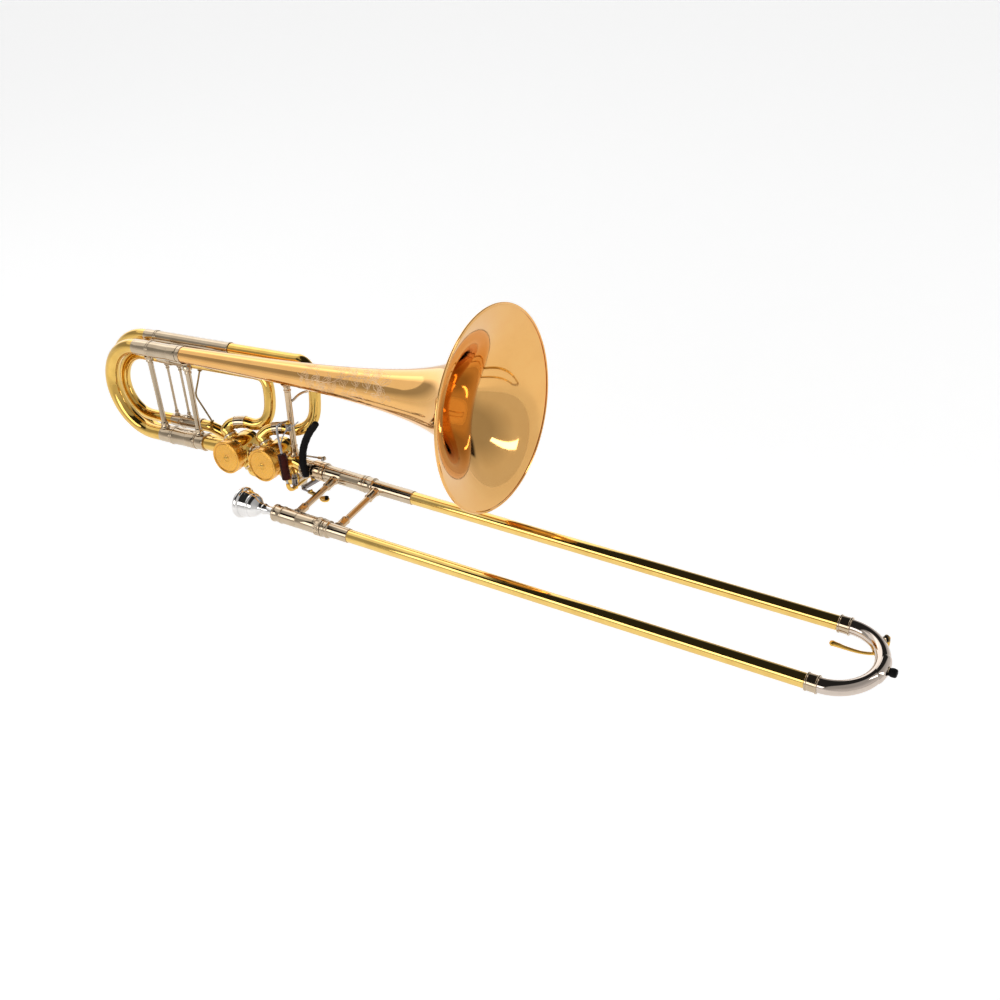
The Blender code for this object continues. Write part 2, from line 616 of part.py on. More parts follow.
def build_mouthpiece():
    pivot = empty("mouthpiece_axis", (-82, -SIDE, 0))
    outside = [(6.1, 84), (6.6, 58), (6.3, 50), (6.0, 38), (8.5, 30), (13.2, 24), (14.4, 18.5),
               (16.2, 14.5), (17.6, 9), (19.0, 5.0), (19.9, 2.4), (19.2, 0.5), (17.0, 0.0)]
    inside = [(14.3, 1.6), (13.6, 7), (12.2, 14), (9.0, 21), (4.6, 26), (3.8, 32), (4.3, 58), (5.3, 84)]
    turned("mouthpiece", outside + inside, (0, 0, 0), (1, 0, 0), SILVER, pivot, 18)


# ---------------------------------------------------------------- outer slide
def build_outer_slide():
    slide = empty("outer_slide_axis", (0, 0, 0))
    sleeve_ends = {"right": 86.3, "left": 115.8}
    starts = {"right": LOCK_RING_X + 9.6 + GAP, "left": 42.9 + GAP}
    for side_name, side in (("right", -1), ("left", 1)):
        start = starts[side_name]
        length = FERRULE_X - GAP - start
        ring_end = 57.0 - start
        sleeve_end = sleeve_ends[side_name] - start
        outline = [(OUTER_TUBE_RADIUS, length), (OUTER_TUBE_RADIUS, sleeve_end + 0.6),
                   (SLEEVE_RADIUS, sleeve_end), (SLEEVE_RADIUS, ring_end + 0.5), (RING_RADIUS, ring_end),
                   (RING_RADIUS, 0.6), (RING_RADIUS - 0.6, 0), (OUTER_TUBE_BORE, 0),
                   (OUTER_TUBE_BORE, length)]
        turned(f"outer_tube_{side_name}", outline, (start, side * SIDE, 0), (1, 0, 0), BRASS, slide)
    cross_brace("outer_slide_brace", OUTER_BRACE_X, SLEEVE_RADIUS, slide)
    bend = half_turn((BOW_X, 0, 0), (BOW_X, -SIDE, 0), (BOW_X, SIDE, 0), (1, 0, 0))
    ferrule = FERRULE_RADIUS / OUTER_TUBE_RADIUS
    marks = [(FERRULE_X, 1.05), (FERRULE_X + 1, ferrule), (BOW_X - 1, ferrule), (BOW_X - 0.4, 1.0)]
    right = [(x, -SIDE, 0) for x, scale in marks]
    left = [(x, SIDE, 0) for x, scale in reversed(marks)]
    scales = [scale for x, scale in marks]
    scales = scales + [1.0] * len(bend) + scales[::-1]
    bent_tube("slide_bow", right + bend + left, OUTER_TUBE_RADIUS, NICKEL, slide, scales)
    bumper = [(0, 8.5), (3.6, 8.5), (4.6, 7.4), (4.9, 2.0), (4.6, 0), (0, 0)]
    turned("end_bumper", bumper, (BUMPER_X, 0, 0), (1, 0, 0), RUBBER, slide, 18, False)
    return slide


def build_water_key(slide):
    out = Vector((cos(WATER_KEY_ANGLE), sin(WATER_KEY_ANGLE), 0))
    under = Vector((BOW_X, 0, 0)) + out * SIDE - Vector((0, 0, OUTER_TUBE_RADIUS + 0.5))
    saddle = [(0, 5.0), (2.4, 5.0), (2.8, 1.4), (4.2, 0), (0, 0)]
    turned("water_key_saddle", saddle, under, (0, 0, -1), NICKEL, slide, 14, False)
    pivot = empty("water_key_axis", under - Vector((0, 0, 7.4)), slide)
    touch = [(-42, -7, 3), (-30, -6.2, 1), (-16, -4.6, -0.6), (-7, -2.6, -0.8), (0, 0, -0.4)]
    arm = [(7, -1.6), (12, 1.0), (14.6, 6.5), (15.0, 15.6)]
    key = touch + [out * along + Vector((0, 0, height)) for along, height in arm]
    rod("water_key", smooth_route(key, 2), 1.5, GOLD, pivot)


build_bell()
build_main_tuning_slide()
build_main_line()
for valve_number, valve_x in enumerate(VALVE_X, 1):
    build_valve(valve_number, valve_x)
build_loops()
build_braces()
build_levers()
build_lever_springs()
build_links()
build_hand_rest()
build_inner_slide()
build_lock_ring()
build_bell_lock_nut()
build_mouthpiece()
build_water_key(build_outer_slide())
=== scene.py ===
"""Looks of the bass trombone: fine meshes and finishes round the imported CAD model.

Lengths are millimetres, turned into metres where a mesh is made. The bell section has its
own frame, read from the record's joints: x through the valves towards the bell mouth, y to
the player's left and z up to the bell. The hand slide lies in the row frame.
"""
import json
from math import cos, pi, radians, sin

import bmesh
import bpy
from mathutils import Matrix, Vector

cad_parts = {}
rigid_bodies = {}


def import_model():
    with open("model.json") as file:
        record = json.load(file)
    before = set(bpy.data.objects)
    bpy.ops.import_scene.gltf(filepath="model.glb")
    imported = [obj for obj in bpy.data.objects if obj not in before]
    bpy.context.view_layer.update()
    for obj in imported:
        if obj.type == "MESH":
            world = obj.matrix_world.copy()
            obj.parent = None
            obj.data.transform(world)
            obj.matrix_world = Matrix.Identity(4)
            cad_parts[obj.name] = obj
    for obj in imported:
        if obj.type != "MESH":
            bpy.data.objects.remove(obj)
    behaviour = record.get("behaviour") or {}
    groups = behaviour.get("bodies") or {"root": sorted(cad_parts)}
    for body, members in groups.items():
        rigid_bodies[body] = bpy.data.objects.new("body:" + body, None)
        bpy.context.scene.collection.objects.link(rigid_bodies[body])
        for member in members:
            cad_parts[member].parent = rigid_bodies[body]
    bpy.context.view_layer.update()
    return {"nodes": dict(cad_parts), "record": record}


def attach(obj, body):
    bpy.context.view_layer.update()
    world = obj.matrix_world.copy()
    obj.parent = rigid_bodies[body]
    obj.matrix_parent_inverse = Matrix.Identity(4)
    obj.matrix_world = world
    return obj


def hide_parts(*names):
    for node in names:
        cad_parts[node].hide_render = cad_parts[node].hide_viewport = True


for thing in list(bpy.data.objects):
    bpy.data.objects.remove(thing)
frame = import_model()

MM = 0.001
X = Vector((1, 0, 0))
Y = Vector((0, 1, 0))
Z = Vector((0, 0, 1))
GAP = 0.3
TUBE_WALL = 0.7
SHARP_ANGLE = 38

# Skins that aren't named NODE_skin. Like those, each stands for the CAD node that is its host.
OTHER_SKINS = ("main_bow_tube", "f_tuning_bow_tube", "g_tuning_bow_tube", "f_lever_wire", "g_lever_wire",
    "water_key_lever")

# Hand slide
SIDE = 47.1
INNER_TUBE_RADIUS = 7.45
OUTER_TUBE_RADIUS = 8.2
BARREL_RADIUS = 10.3
SLEEVE_RADIUS = 8.95
RING_RADIUS = 11.0
RECEIVER_X = -27.6
BOW_X = 667.6
FERRULE_X = 656.0
FERRULE_RADIUS = 9.3
BUMPER_X = BOW_X + SIDE + OUTER_TUBE_RADIUS + GAP
OUTER_BRACE_X = 63.4
LOCK_RING_X = 38.0
WATER_KEY_ANGLE = radians(50)
RIGHT_SLEEVE_END = 86.3
LEFT_SLEEVE_END = 115.8
RING_END = 57.0
LEFT_BARREL_X = -28.7
LEFT_BARREL_END = 42.9

# Bell
BELL_HEIGHT = 121.3
BELL_RIM_X = 346.8
BELL_RIM_RADIUS = 120.65
BELL_TAIL_X = -140.7
BELL_FLARE_LENGTH = 29.7
BELL_FLARE_POWER = 0.85
BELL_WALL = 0.8

# Main line and valves
LEG_RADIUS = 9.6
NECK_RADIUS = 9.8
MAIN_BOW_RADIUS = 10.2
MAIN_BOW_UPPER_X = -220.0
MAIN_BOW_LOWER_X = -209.0
UPPER_SLEEVE_X = -193.0
LOWER_SLEEVE_X = -174.0
UPPER_SLEEVE_END_X = -141.0
LOWER_SLEEVE_END_X = -132.0
TUNING_BRACE_X = (-188.0, -200.0)
REAR_BRACE_X = (-126.0, -132.0)
BELL_BRACE_X = 38.0
VALVE_X = (-55.5, 5.3)
CASING_RADIUS = 21.0
CASING_FRONT = -24.0
CASING_BACK = 22.0
PORT_REACH = 26.5
LOOP_PORT_ANGLE = radians(128)
STOP_ARM_REACH = 9.4
STOP_ARM_ANGLE = radians(238)
LINK_ROD_SIDE = 33.5

# Loop tubes
LOOP_RADIUS = 7.8
LOOP_LEG_RADIUS = 7.1
LOOP_SLEEVE_RADIUS = 8.3
F_UPPER = (25.0, 101.0)
F_LOWER = (25.0, 12.0)
F_BOW_X = -236.0
F_UPPER_SLEEVE = (-184.0, -150.0)
F_LOWER_SLEEVE = (-176.0, -142.0)
G_UPPER = (34.0, 126.0)
G_LOWER = (40.0, -16.0)
G_BOW_X = -236.0
G_UPPER_SLEEVE = (-213.0, -81.0)
G_LOWER_SLEEVE = (-213.0, -150.0)

# Thumb levers
F_LEVER_AXIS = (45.6, -15.0)
G_LEVER_AXIS = (60.0, -26.0)
WIRE_RADIUS = 1.5

JOINTS = {joint["name"]: joint for joint in frame["record"]["behaviour"]["joints"]}
BODY_OF = {node: body for body, nodes in frame["record"]["behaviour"]["bodies"].items() for node in nodes}


def section_frame():
    """The bell section's frame, from the axes of the first valve and its thumb lever."""
    left = -Vector(JOINTS["valve_1_turn"]["axis"]).normalized()
    up = -Vector(JOINTS["f_lever_hinge"]["axis"]).normalized()
    forward = left.cross(up)
    turn = Matrix((forward, left, up)).transposed().to_4x4()
    valve = Vector(JOINTS["valve_1_turn"]["pos_m"])
    return Matrix.Translation(valve - forward * VALVE_X[0] * MM) @ turn


ROW = Matrix.Identity(4)
SECTION = section_frame()


# ---------------------------------------------------------------- finishes
def node(tree, kind, **values):
    """Add a shader node, setting attributes and, by socket name, input values."""
    new = tree.nodes.new(kind)
    for key, value in values.items():
        socket = key.replace("_", " ")
        if socket in new.inputs:
            new.inputs[socket].default_value = value
        else:
            setattr(new, key, value)
    return new


def ramp(tree, source, stops):
    """A colour ramp fed by a socket, from (position, colour) stops. A number is a grey."""
    new = node(tree, "ShaderNodeValToRGB")
    elements = new.color_ramp.elements
    while len(elements) < len(stops):
        elements.new(0.5)
    for element, (position, colour) in zip(elements, stops):
        element.position = position
        element.color = (*(colour if isinstance(colour, tuple) else (colour,) * 3), 1.0)
    tree.links.new(source, new.inputs["Fac"])
    return new.outputs["Color"]


def span(tree, source, low, high, start=0.3, end=0.7):
    """Map the range from start to end onto the one from low to high."""
    new = node(tree, "ShaderNodeMapRange", From_Min=start, From_Max=end, To_Min=low, To_Max=high)
    tree.links.new(source, new.inputs["Value"])
    return new.outputs["Result"]


def stretched(tree, scale):
    """Object coordinates scaled by a number, or along each axis, in 1/m."""
    mapping = node(tree, "ShaderNodeMapping", Scale=scale if isinstance(scale, tuple) else (scale,) * 3)
    tree.links.new(node(tree, "ShaderNodeTexCoord").outputs["Object"], mapping.inputs["Vector"])
    return mapping.outputs["Vector"]


def noise(tree, scale, detail, rough):
    new = node(tree, "ShaderNodeTexNoise", Scale=1.0, Detail=detail, Roughness=rough)
    tree.links.new(stretched(tree, scale), new.inputs["Vector"])
    return new.outputs["Fac"]


def mixed(tree, factor, first, second, blend="MIX"):
    """Mix two colours. The factor and the second colour may each be a socket or a value."""
    new = node(tree, "ShaderNodeMix", data_type="RGBA", blend_type=blend)
    for place, given in ((0, factor), (6, first), (7, second)):
        if isinstance(given, bpy.types.NodeSocket):
            tree.links.new(given, new.inputs[place])
        else:
            new.inputs[place].default_value = given
    return new.outputs[2]


def bump(tree, height, strength, distance, under=None):
    """A bump from a height socket, on top of another bump where one is given."""
    new = node(tree, "ShaderNodeBump", Strength=strength, Distance=distance)
    tree.links.new(height, new.inputs["Height"])
    if under is not None:
        tree.links.new(under, new.inputs["Normal"])
    return new.outputs["Normal"]


def material(name, **values):
    """A material with some of its shader's inputs set, and its node tree."""
    mat = bpy.data.materials.new(name)
    mat.use_nodes = True
    for socket, value in values.items():
        mat.node_tree.nodes["Principled BSDF"].inputs[socket.replace("_", " ")].default_value = value
    return mat, mat.node_tree


def shade(tree, **sockets):
    """Link sockets to the inputs of a material's shader."""
    for name, socket in sockets.items():
        tree.links.new(socket, tree.nodes["Principled BSDF"].inputs[name.replace("_", " ")])


def metal(name, light, dark, roughness, streak=900, coat=0.7, grain=0.02, edge=0.35):
    """A polished metal: cloudy tint, smudged gloss, fine tool marks and a lacquer coat.

    light and dark are the two tints that the clouding moves between. streak is the scale
    of the tool marks, in 1/m, and edge how much painted shade darkens hollows; ridges get a small painted
    highlight.
    """
    mat, tree = material(name, Metallic=1.0, Coat_Weight=coat, Coat_Roughness=0.04)
    tint = ramp(tree, noise(tree, 38, 4.0, 0.6), [(0.36, dark), (0.6, light)])
    # Painted shade and highlight: the colour is darkened in hollows and brightened on ridges, from how
    # pointed the surface is.
    shade_highlight_mask = node(tree, "ShaderNodeNewGeometry").outputs["Pointiness"]
    painted_shade_and_highlight = ramp(tree, shade_highlight_mask, [(0.44, 1 - edge), (0.5, 1.0), (0.58, 1.12)])
    gloss = span(tree, noise(tree, 150, 5.0, 0.65), roughness * 0.75, roughness * 1.45)
    marks = bump(tree, noise(tree, streak, 2.0, 0.5), grain, 0.0004)
    shade(tree, Base_Color=mixed(tree, 1.0, tint, painted_shade_and_highlight, "MULTIPLY"), Roughness=gloss, Normal=marks)
    return mat


def turned_face(name, light, dark, roughness):
    """Metal faced on a lathe: fine rings about the piece's own Z axis."""
    mat = metal(name, light, dark, roughness, coat=0.4, grain=0.0)
    tree = mat.node_tree
    rings = node(tree, "ShaderNodeTexWave", wave_type="RINGS", rings_direction="Z", wave_profile="SIN",
        Scale=380.0, Distortion=0.6, Detail=2.0)
    tree.links.new(stretched(tree, 1), rings.inputs["Vector"])
    shade(tree, Normal=bump(tree, rings.outputs["Fac"], 0.3, 0.00015))
    return mat


def leather(name, light, dark, roughness, specular):
    """Grained leather: cells with creases, darker in the grain, with clouded gloss."""
    mat, tree = material(name, Specular_IOR_Level=specular)
    cells = node(tree, "ShaderNodeTexVoronoi", feature="DISTANCE_TO_EDGE", Scale=1.0)
    tree.links.new(stretched(tree, (1500, 1500, 1300)), cells.inputs["Vector"])
    clouds = noise(tree, 160, 5.0, 0.6)
    tint = ramp(tree, clouds, [(0.3, dark), (0.68, light)])
    grain = ramp(tree, cells.outputs["Distance"], [(0.0, 0.45), (0.14, 1.0)])
    wrinkles = bump(tree, noise(tree, 420, 6.0, 0.7), 0.5, 0.0005)
    shade(tree, Base_Color=mixed(tree, 1.0, tint, grain, "MULTIPLY"),
        Roughness=span(tree, clouds, roughness * 0.8, roughness * 1.25),
        Normal=bump(tree, grain, 0.55, 0.00025, wrinkles))
    return mat


def matt(name, light, dark, roughness, scale=700, specular=0.3):
    """Rubber, thread or paper: a dull surface with fine pits."""
    mat, tree = material(name, Specular_IOR_Level=specular)
    pits = noise(tree, scale, 6.0, 0.7)
    shade(tree, Base_Color=ramp(tree, pits, [(0.35, dark), (0.65, light)]),
        Roughness=span(tree, pits, roughness * 0.85, roughness * 1.15),
        Normal=bump(tree, pits, 0.35, 0.0003))
    return mat


ALONG = (900, 900, 12)
ROUND = (60, 60, 3000)
BRASS = metal("lacquered_brass", (0.77, 0.49, 0.12), (0.68, 0.42, 0.09), 0.07, 300, 0.3, 0.012)
BRASS_TUBE = metal("drawn_brass_tube", (0.78, 0.53, 0.15), (0.72, 0.47, 0.125), 0.06, ALONG, 0.3, 0.012)
ROSE = metal("rose_brass", (0.8, 0.445, 0.145), (0.78, 0.425, 0.135), 0.06, 260, 0.12, 0.012)
NICKEL = metal("nickel_silver", (0.53, 0.425, 0.3), (0.48, 0.375, 0.255), 0.07, ALONG, 0.2, 0.008)
BOW_NICKEL = metal("polished_nickel_silver", (0.62, 0.53, 0.46), (0.57, 0.48, 0.41), 0.05, 400, 0.2, 0.008)
NICKEL_WARM = metal("warm_nickel_silver", (0.6, 0.44, 0.28), (0.52, 0.37, 0.22), 0.09, ALONG, 0.2, 0.02)
CHROME = metal("chromed_tube", (0.66, 0.64, 0.6), (0.56, 0.54, 0.5), 0.05, ALONG, 0.1, 0.02)
GOLD = metal("gold_plate", (0.76, 0.45, 0.09), (0.62, 0.35, 0.06), 0.16, 500, 0.2, 0.03)
CAP_GOLD = turned_face("turned_gold_plate", (0.78, 0.4, 0.06), (0.7, 0.345, 0.045), 0.24)
SILVER = metal("silver_plate", (0.8, 0.78, 0.76), (0.7, 0.68, 0.66), 0.04, ROUND, 0.0, 0.01, 0.5)
STEEL = metal("steel_wire", (0.42, 0.41, 0.41), (0.3, 0.29, 0.3), 0.18, 900, 0.0, 0.04)
STEEL_GREY = metal("grey_steel", (0.3, 0.26, 0.24), (0.2, 0.18, 0.17), 0.22, ALONG, 0.1, 0.04)
DARK_GOLD = metal("worn_gold_plate", (0.42, 0.27, 0.09), (0.26, 0.16, 0.05), 0.2, 700, 0.1, 0.05)
DARK_BRASS = metal("aged_brass_wire", (0.3, 0.2, 0.08), (0.18, 0.12, 0.05), 0.28, 900, 0.0, 0.08)
# Painted highlight: the engraved lines get a paler tint than the bell, for the light caught by the cuts;
# the pattern of lines is real.
ENGRAVING_HIGHLIGHT = metal("engraving_painted_highlight", (0.95, 0.7, 0.46), (0.72, 0.47, 0.27), 0.5, 1800, 0.0, 0.3)
# Painted shade: near-black metal for the boxes that stand in for the uncut screw slots, painting the shade
# inside them.
PAINTED_SLOT_SHADE = metal("painted_slot_shade", (0.1, 0.07, 0.04), (0.04, 0.03, 0.02), 0.4, 900, 0.0, 0.1)
RED_LEATHER = leather("red_leather", (0.085, 0.011, 0.005), (0.035, 0.004, 0.002), 0.5, 0.12)
BLACK_LEATHER = leather("black_leather", (0.009, 0.008, 0.008), (0.003, 0.003, 0.003), 0.6, 0.1)
RUBBER = matt("black_rubber", (0.006, 0.006, 0.006), (0.002, 0.002, 0.002), 0.6, specular=0.1)
THREAD = matt("dark_thread", (0.03, 0.02, 0.02), (0.012, 0.008, 0.008), 0.75, 3000)


# ---------------------------------------------------------------- shapes
def add(name, data):
    """A new object in the scene."""
    obj = bpy.data.objects.new(name, data)
    bpy.context.scene.collection.objects.link(obj)
    return obj


def piece(name, verts, faces, finish, host, place=SECTION, own_axes=False):
    """A named piece from points in millimetres, carried by the body of a CAD node, its host.

    A skin stands for its host, and is named after it unless a host is given. own_axes keeps
    the piece's own frame, which tool marks and turned rings follow.
    """
    host = host or name.removesuffix("_skin")
    mesh = bpy.data.meshes.new(name)
    mesh.from_pydata([Vector(v) * MM for v in verts], [], faces)
    if not own_axes:
        mesh.transform(place)
        place = ROW
    shape = bmesh.new()
    shape.from_mesh(mesh)
    bmesh.ops.recalc_face_normals(shape, faces=shape.faces)
    shape.to_mesh(mesh)
    shape.free()
    mesh.shade_smooth()
    mesh.set_sharp_from_angle(angle=radians(SHARP_ANGLE))
    mesh.materials.append(finish)
    obj = add(name, mesh)
    obj.matrix_world = place
    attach(obj, BODY_OF[host])
    if name.endswith("_skin") or name in OTHER_SKINS:
        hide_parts(host)
    return obj


def soften(outline, radius, closed):
    """Round the corners of an outline with short arcs."""
    points = [Vector(p) for p in outline]
    count = len(points)
    out = []
    for i, point in enumerate(points):
        if not closed and i in (0, count - 1):
            out.append(point)
            continue
        before = points[i - 1] - point
        after = points[(i + 1) % count] - point
        if before.length < 1e-6 or after.length < 1e-6 or before.angle(after, pi) > radians(165):
            out.append(point)
            continue
        reach = min(radius, before.length * 0.45, after.length * 0.45)
        start = point + before.normalized() * reach
        end = point + after.normalized() * reach
        for j in range(4):
            t = j / 3
            out.append(start * (1 - t) ** 2 + point * 2 * t * (1 - t) + end * t * t)
    return out


def axis_frame(point, axis):
    """A frame with its origin at a point and its Z along an axis."""
    turn = Vector(axis).to_track_quat("Z", "Y").to_matrix().to_4x4()
    return Matrix.Translation(Vector(point) * MM) @ turn


def turned(name, outline, point, axis, finish, host=None, place=SECTION, steps=64, closed=None, soft=0.25,
        ripple=None, own_axes=True):
    """Turn an outline of (radius, height) pairs about an axis.

    Unless closed says otherwise, an outline whose ends both lie on the axis stays open.
    ripple is a function of the turn angle and the outline point that moves the surface
    out, for knurling.
    """
    if closed is None:
        closed = any(radius for radius, height in (outline[0], outline[-1]))
    profile = soften(outline, soft, closed) if soft else [Vector(p) for p in outline]
    count = len(profile)
    verts = []
    for j in range(steps):
        angle = 2 * pi * j / steps
        for radius, height in profile:
            reach = radius + (ripple(angle, radius, height) if ripple else 0.0)
            verts.append((reach * cos(angle), reach * sin(angle), height))
    faces = []
    rows = count if closed else count - 1
    for j in range(steps):
        here = j * count
        there = (j + 1) % steps * count
        for i in range(rows):
            k = (i + 1) % count
            faces.append((here + i, there + i, there + k, here + k))
    obj = piece(name, verts, faces, finish, host, place @ axis_frame(point, axis), own_axes=own_axes)
    shape = bmesh.new()
    shape.from_mesh(obj.data)
    bmesh.ops.remove_doubles(shape, verts=shape.verts, dist=1e-6)
    bmesh.ops.dissolve_degenerate(shape, edges=shape.edges, dist=1e-7)
    shape.to_mesh(obj.data)
    shape.free()
    return obj


def tube(name, start, length, outer, inner, finish, host=None, place=SECTION, axis=X, steps=64, soft=0.25):
    outline = [(outer, length), (outer, 0), (inner, 0), (inner, length)]
    return turned(name, outline, start, axis, finish, host, place, steps=steps, soft=soft)


def spline(points, steps=8):
    """Points along a smooth curve through the given points."""
    route = [Vector(p) for p in points]
    route = [2 * route[0] - route[1]] + route + [2 * route[-1] - route[-2]]
    out = []
    for a, b, c, d in zip(route, route[1:], route[2:], route[3:]):
        for i in range(steps):
            t = i / steps
            out.append(0.5 * (2 * b + (c - a) * t + (2 * a - 5 * b + 4 * c - d) * t * t
                + (3 * b - a - 3 * c + d) * t ** 3))
    out.append(route[-2])
    return out


def half_turn(start, end, outward, steps=56):
    """Points of a U bend from start to end, bulging along the outward direction."""
    centre = (Vector(start) + Vector(end)) / 2
    arm = (Vector(start) - Vector(end)) / 2
    out = Vector(outward).normalized() * arm.length
    return [centre + arm * cos(pi * i / steps) + out * sin(pi * i / steps) for i in range(steps + 1)]


def rails(route):
    """Two steady directions across a route at each of its points."""
    count = len(route)
    tangents = [(route[min(i + 1, count - 1)] - route[max(i - 1, 0)]).normalized() for i in range(count)]
    across = tangents[0].orthogonal().normalized()
    out = []
    for i, tangent in enumerate(tangents):
        if i:
            across = (tangents[i - 1].rotation_difference(tangent) @ across)
        across = (across - tangent * across.dot(tangent)).normalized()
        out.append((across, tangent.cross(across)))
    return out


def swept(name, route, radius, finish, host=None, place=SECTION, segments=40, wall=0.0, lumps=None,
        rounded=False):
    """A round rod along a route, or a tube where a wall is given.

    radius is one number or one for each point. lumps moves the surface out, as a function
    of the point's number and the angle round it.
    """
    route = [Vector(p) for p in route]
    radii = list(radius) if isinstance(radius, (list, tuple)) else [radius] * len(route)
    if rounded:
        route, radii = round_ends(route, radii)
    frames = rails(route)
    verts = []

    def ring(i, reach):
        across, over = frames[i]
        start = len(verts)
        for j in range(segments):
            angle = 2 * pi * j / segments
            out = reach + (lumps(i, angle) if lumps else 0.0)
            verts.append(route[i] + (across * cos(angle) + over * sin(angle)) * out)
        return start

    order = [ring(i, radii[i]) for i in range(len(route))]
    if wall:
        order += [ring(i, radii[i] - wall) for i in reversed(range(len(route)))]
        order.append(order[0])
    faces = []
    for a, b in zip(order, order[1:]):
        for j in range(segments):
            k = (j + 1) % segments
            faces.append((a + j, a + k, b + k, b + j))
    if not wall:
        faces.append(tuple(range(segments)))
        faces.append(tuple(order[-1] + j for j in range(segments)))
    return piece(name, verts, faces, finish, host, place)


def round_ends(route, radii):
    """Add small domes to a rod's ends."""
    def dome(end, nxt, radius):
        away = (end - nxt).normalized()
        turns = [radians(a) for a in (80, 60, 40, 20)]
        return [(end + away * radius * sin(a), radius * cos(a)) for a in turns]

    head = dome(route[0], route[1], radii[0])
    tail = dome(route[-1], route[-2], radii[-1])[::-1]
    route = [p for p, r in head] + route + [p for p, r in tail]
    radii = [r for p, r in head] + radii + [r for p, r in tail]
    return route, radii


def knurl(count, depth, low, high):
    """Straight knurling between two heights of a turned piece."""
    def ripple(angle, radius, height):
        if low < height < high and radius > RING_RADIUS:
            return depth * abs(sin(count * angle / 2)) - depth
        return 0.0
    return ripple


def screw(name, point, axis, radius, height, finish, host, place=SECTION):
    """A domed screw head with a slot across it. The slot is not cut: a near-black box set through the head
    paints the shade inside it.
    """
    outline = [(0, height), (radius * 0.55, height * 0.95), (radius * 0.9, height * 0.6),
        (radius, height * 0.2), (radius, -0.4), (0, -0.4)]
    turned(name, outline, point, axis, finish, host, place, steps=32, soft=0.1)
    half = radius * 0.72
    wide = radius * 0.14
    verts = [(x, y, z) for z in (height * 0.55, height + 0.02) for x,
        y in ((-half, -wide), (half, -wide), (half, wide), (-half, wide))]
    faces = [(0, 1, 2, 3), (4, 5, 6, 7), (0, 1, 5, 4), (1, 2, 6, 5), (2, 3, 7, 6), (3, 0, 4, 7)]
    piece(name + "_slot", verts, faces, PAINTED_SLOT_SHADE, host, place @ axis_frame(point, axis))


def ball(name, point, radius, finish, host, place):
    """A turned ball with a small flat at each pole, as ball-ended fittings have."""
    turns = [radians(-80 + 160 * i / 14) for i in range(15)]
    outline = [(0, radius * sin(turns[-1]))]
    outline += [(radius * cos(a), radius * sin(a)) for a in reversed(turns)]
    outline.append((0, radius * sin(turns[0])))
    turned(name, outline, point, Z, finish, host, place, steps=32, soft=0)


def flat_plate(name, outline, thickness, finish, host, place):
    """A flat plate with rounded edges from a closed outline in its own XY plane."""
    count = len(outline)
    half = thickness / 2
    edge = min(0.3, half * 0.5)
    centre = Vector((sum(p[0] for p in outline) / count, sum(p[1] for p in outline) / count))
    levels = [(edge, -half), (0.0, -half + edge), (0.0, half - edge), (edge, half)]
    verts = []
    for inset, z in levels:
        for p in outline:
            inward = (centre - Vector(p)).normalized() * inset
            verts.append((p[0] + inward.x, p[1] + inward.y, z))
    faces = []
    for level in range(len(levels) - 1):
        for j in range(count):
            k = (j + 1) % count
            a = level * count
            faces.append((a + j, a + k, a + count + k, a + count + j))
    faces.append(tuple(range(count)))
    faces.append(tuple(3 * count + j for j in range(count)))
    return piece(name, verts, faces, finish, host, place)


def arc(radius, centre, start, sweep, steps):
    """Points along an arc in the XY plane."""
    angles = [start + sweep * i / steps for i in range(steps + 1)]
    return [(centre[0] + radius * cos(a), centre[1] + radius * sin(a)) for a in angles]


def ringed(half, length):
    """A symmetrical outline from its first half."""
    return half + [(radius, length - height) for radius, height in reversed(half)]


def bell_radius(x):
    """Outside radius of the bell at a place along its axis."""
    return BELL_RIM_RADIUS * (1 + (BELL_RIM_X - x) / BELL_FLARE_LENGTH) ** -BELL_FLARE_POWER


# ---------------------------------------------------------------- bell
def build_bell():
    count = 110
    length = BELL_RIM_X - BELL_TAIL_X
    shares = [1 - (1 - i / count) ** 2.4 for i in range(count + 1)]
    outer = [(bell_radius(BELL_TAIL_X + length * s), length * s) for s in shares]
    inner = [(radius - BELL_WALL, height) for radius, height in outer]
    bead = 1.25
    centre = (BELL_RIM_RADIUS - 0.1, length - 0.6)
    curl = [(centre[0] + bead * cos(a), centre[1] + bead * sin(a))
        for a in [radians(150 - 28 * i) for i in range(11)]]
    outline = [(BELL_RIM_RADIUS - 2.4, length + 0.35)] + curl + outer[-3::-1] + inner[:-3]
    point = (BELL_TAIL_X, 0, BELL_HEIGHT)
    turned("bell_skin", outline, point, X, ROSE, steps=160, soft=0, own_axes=False)
    tail = [(11.55, 6.6), (11.55, 0.4), (10.4, 0.4), (10.4, 6.6)]
    turned("bell_tail_ring", tail, point, X, NICKEL, "bell", soft=0.4)


def on_bell(x, across):
    """A point just off the bell's surface, from its place along the axis and round it.

    across is the distance round the surface from the side that faces the player's right
    shoulder, in millimetres.
    """
    radius = bell_radius(x) + 0.05
    angle = radians(58) + across / radius
    return Vector((x, -radius * sin(angle), BELL_HEIGHT + radius * cos(angle)))


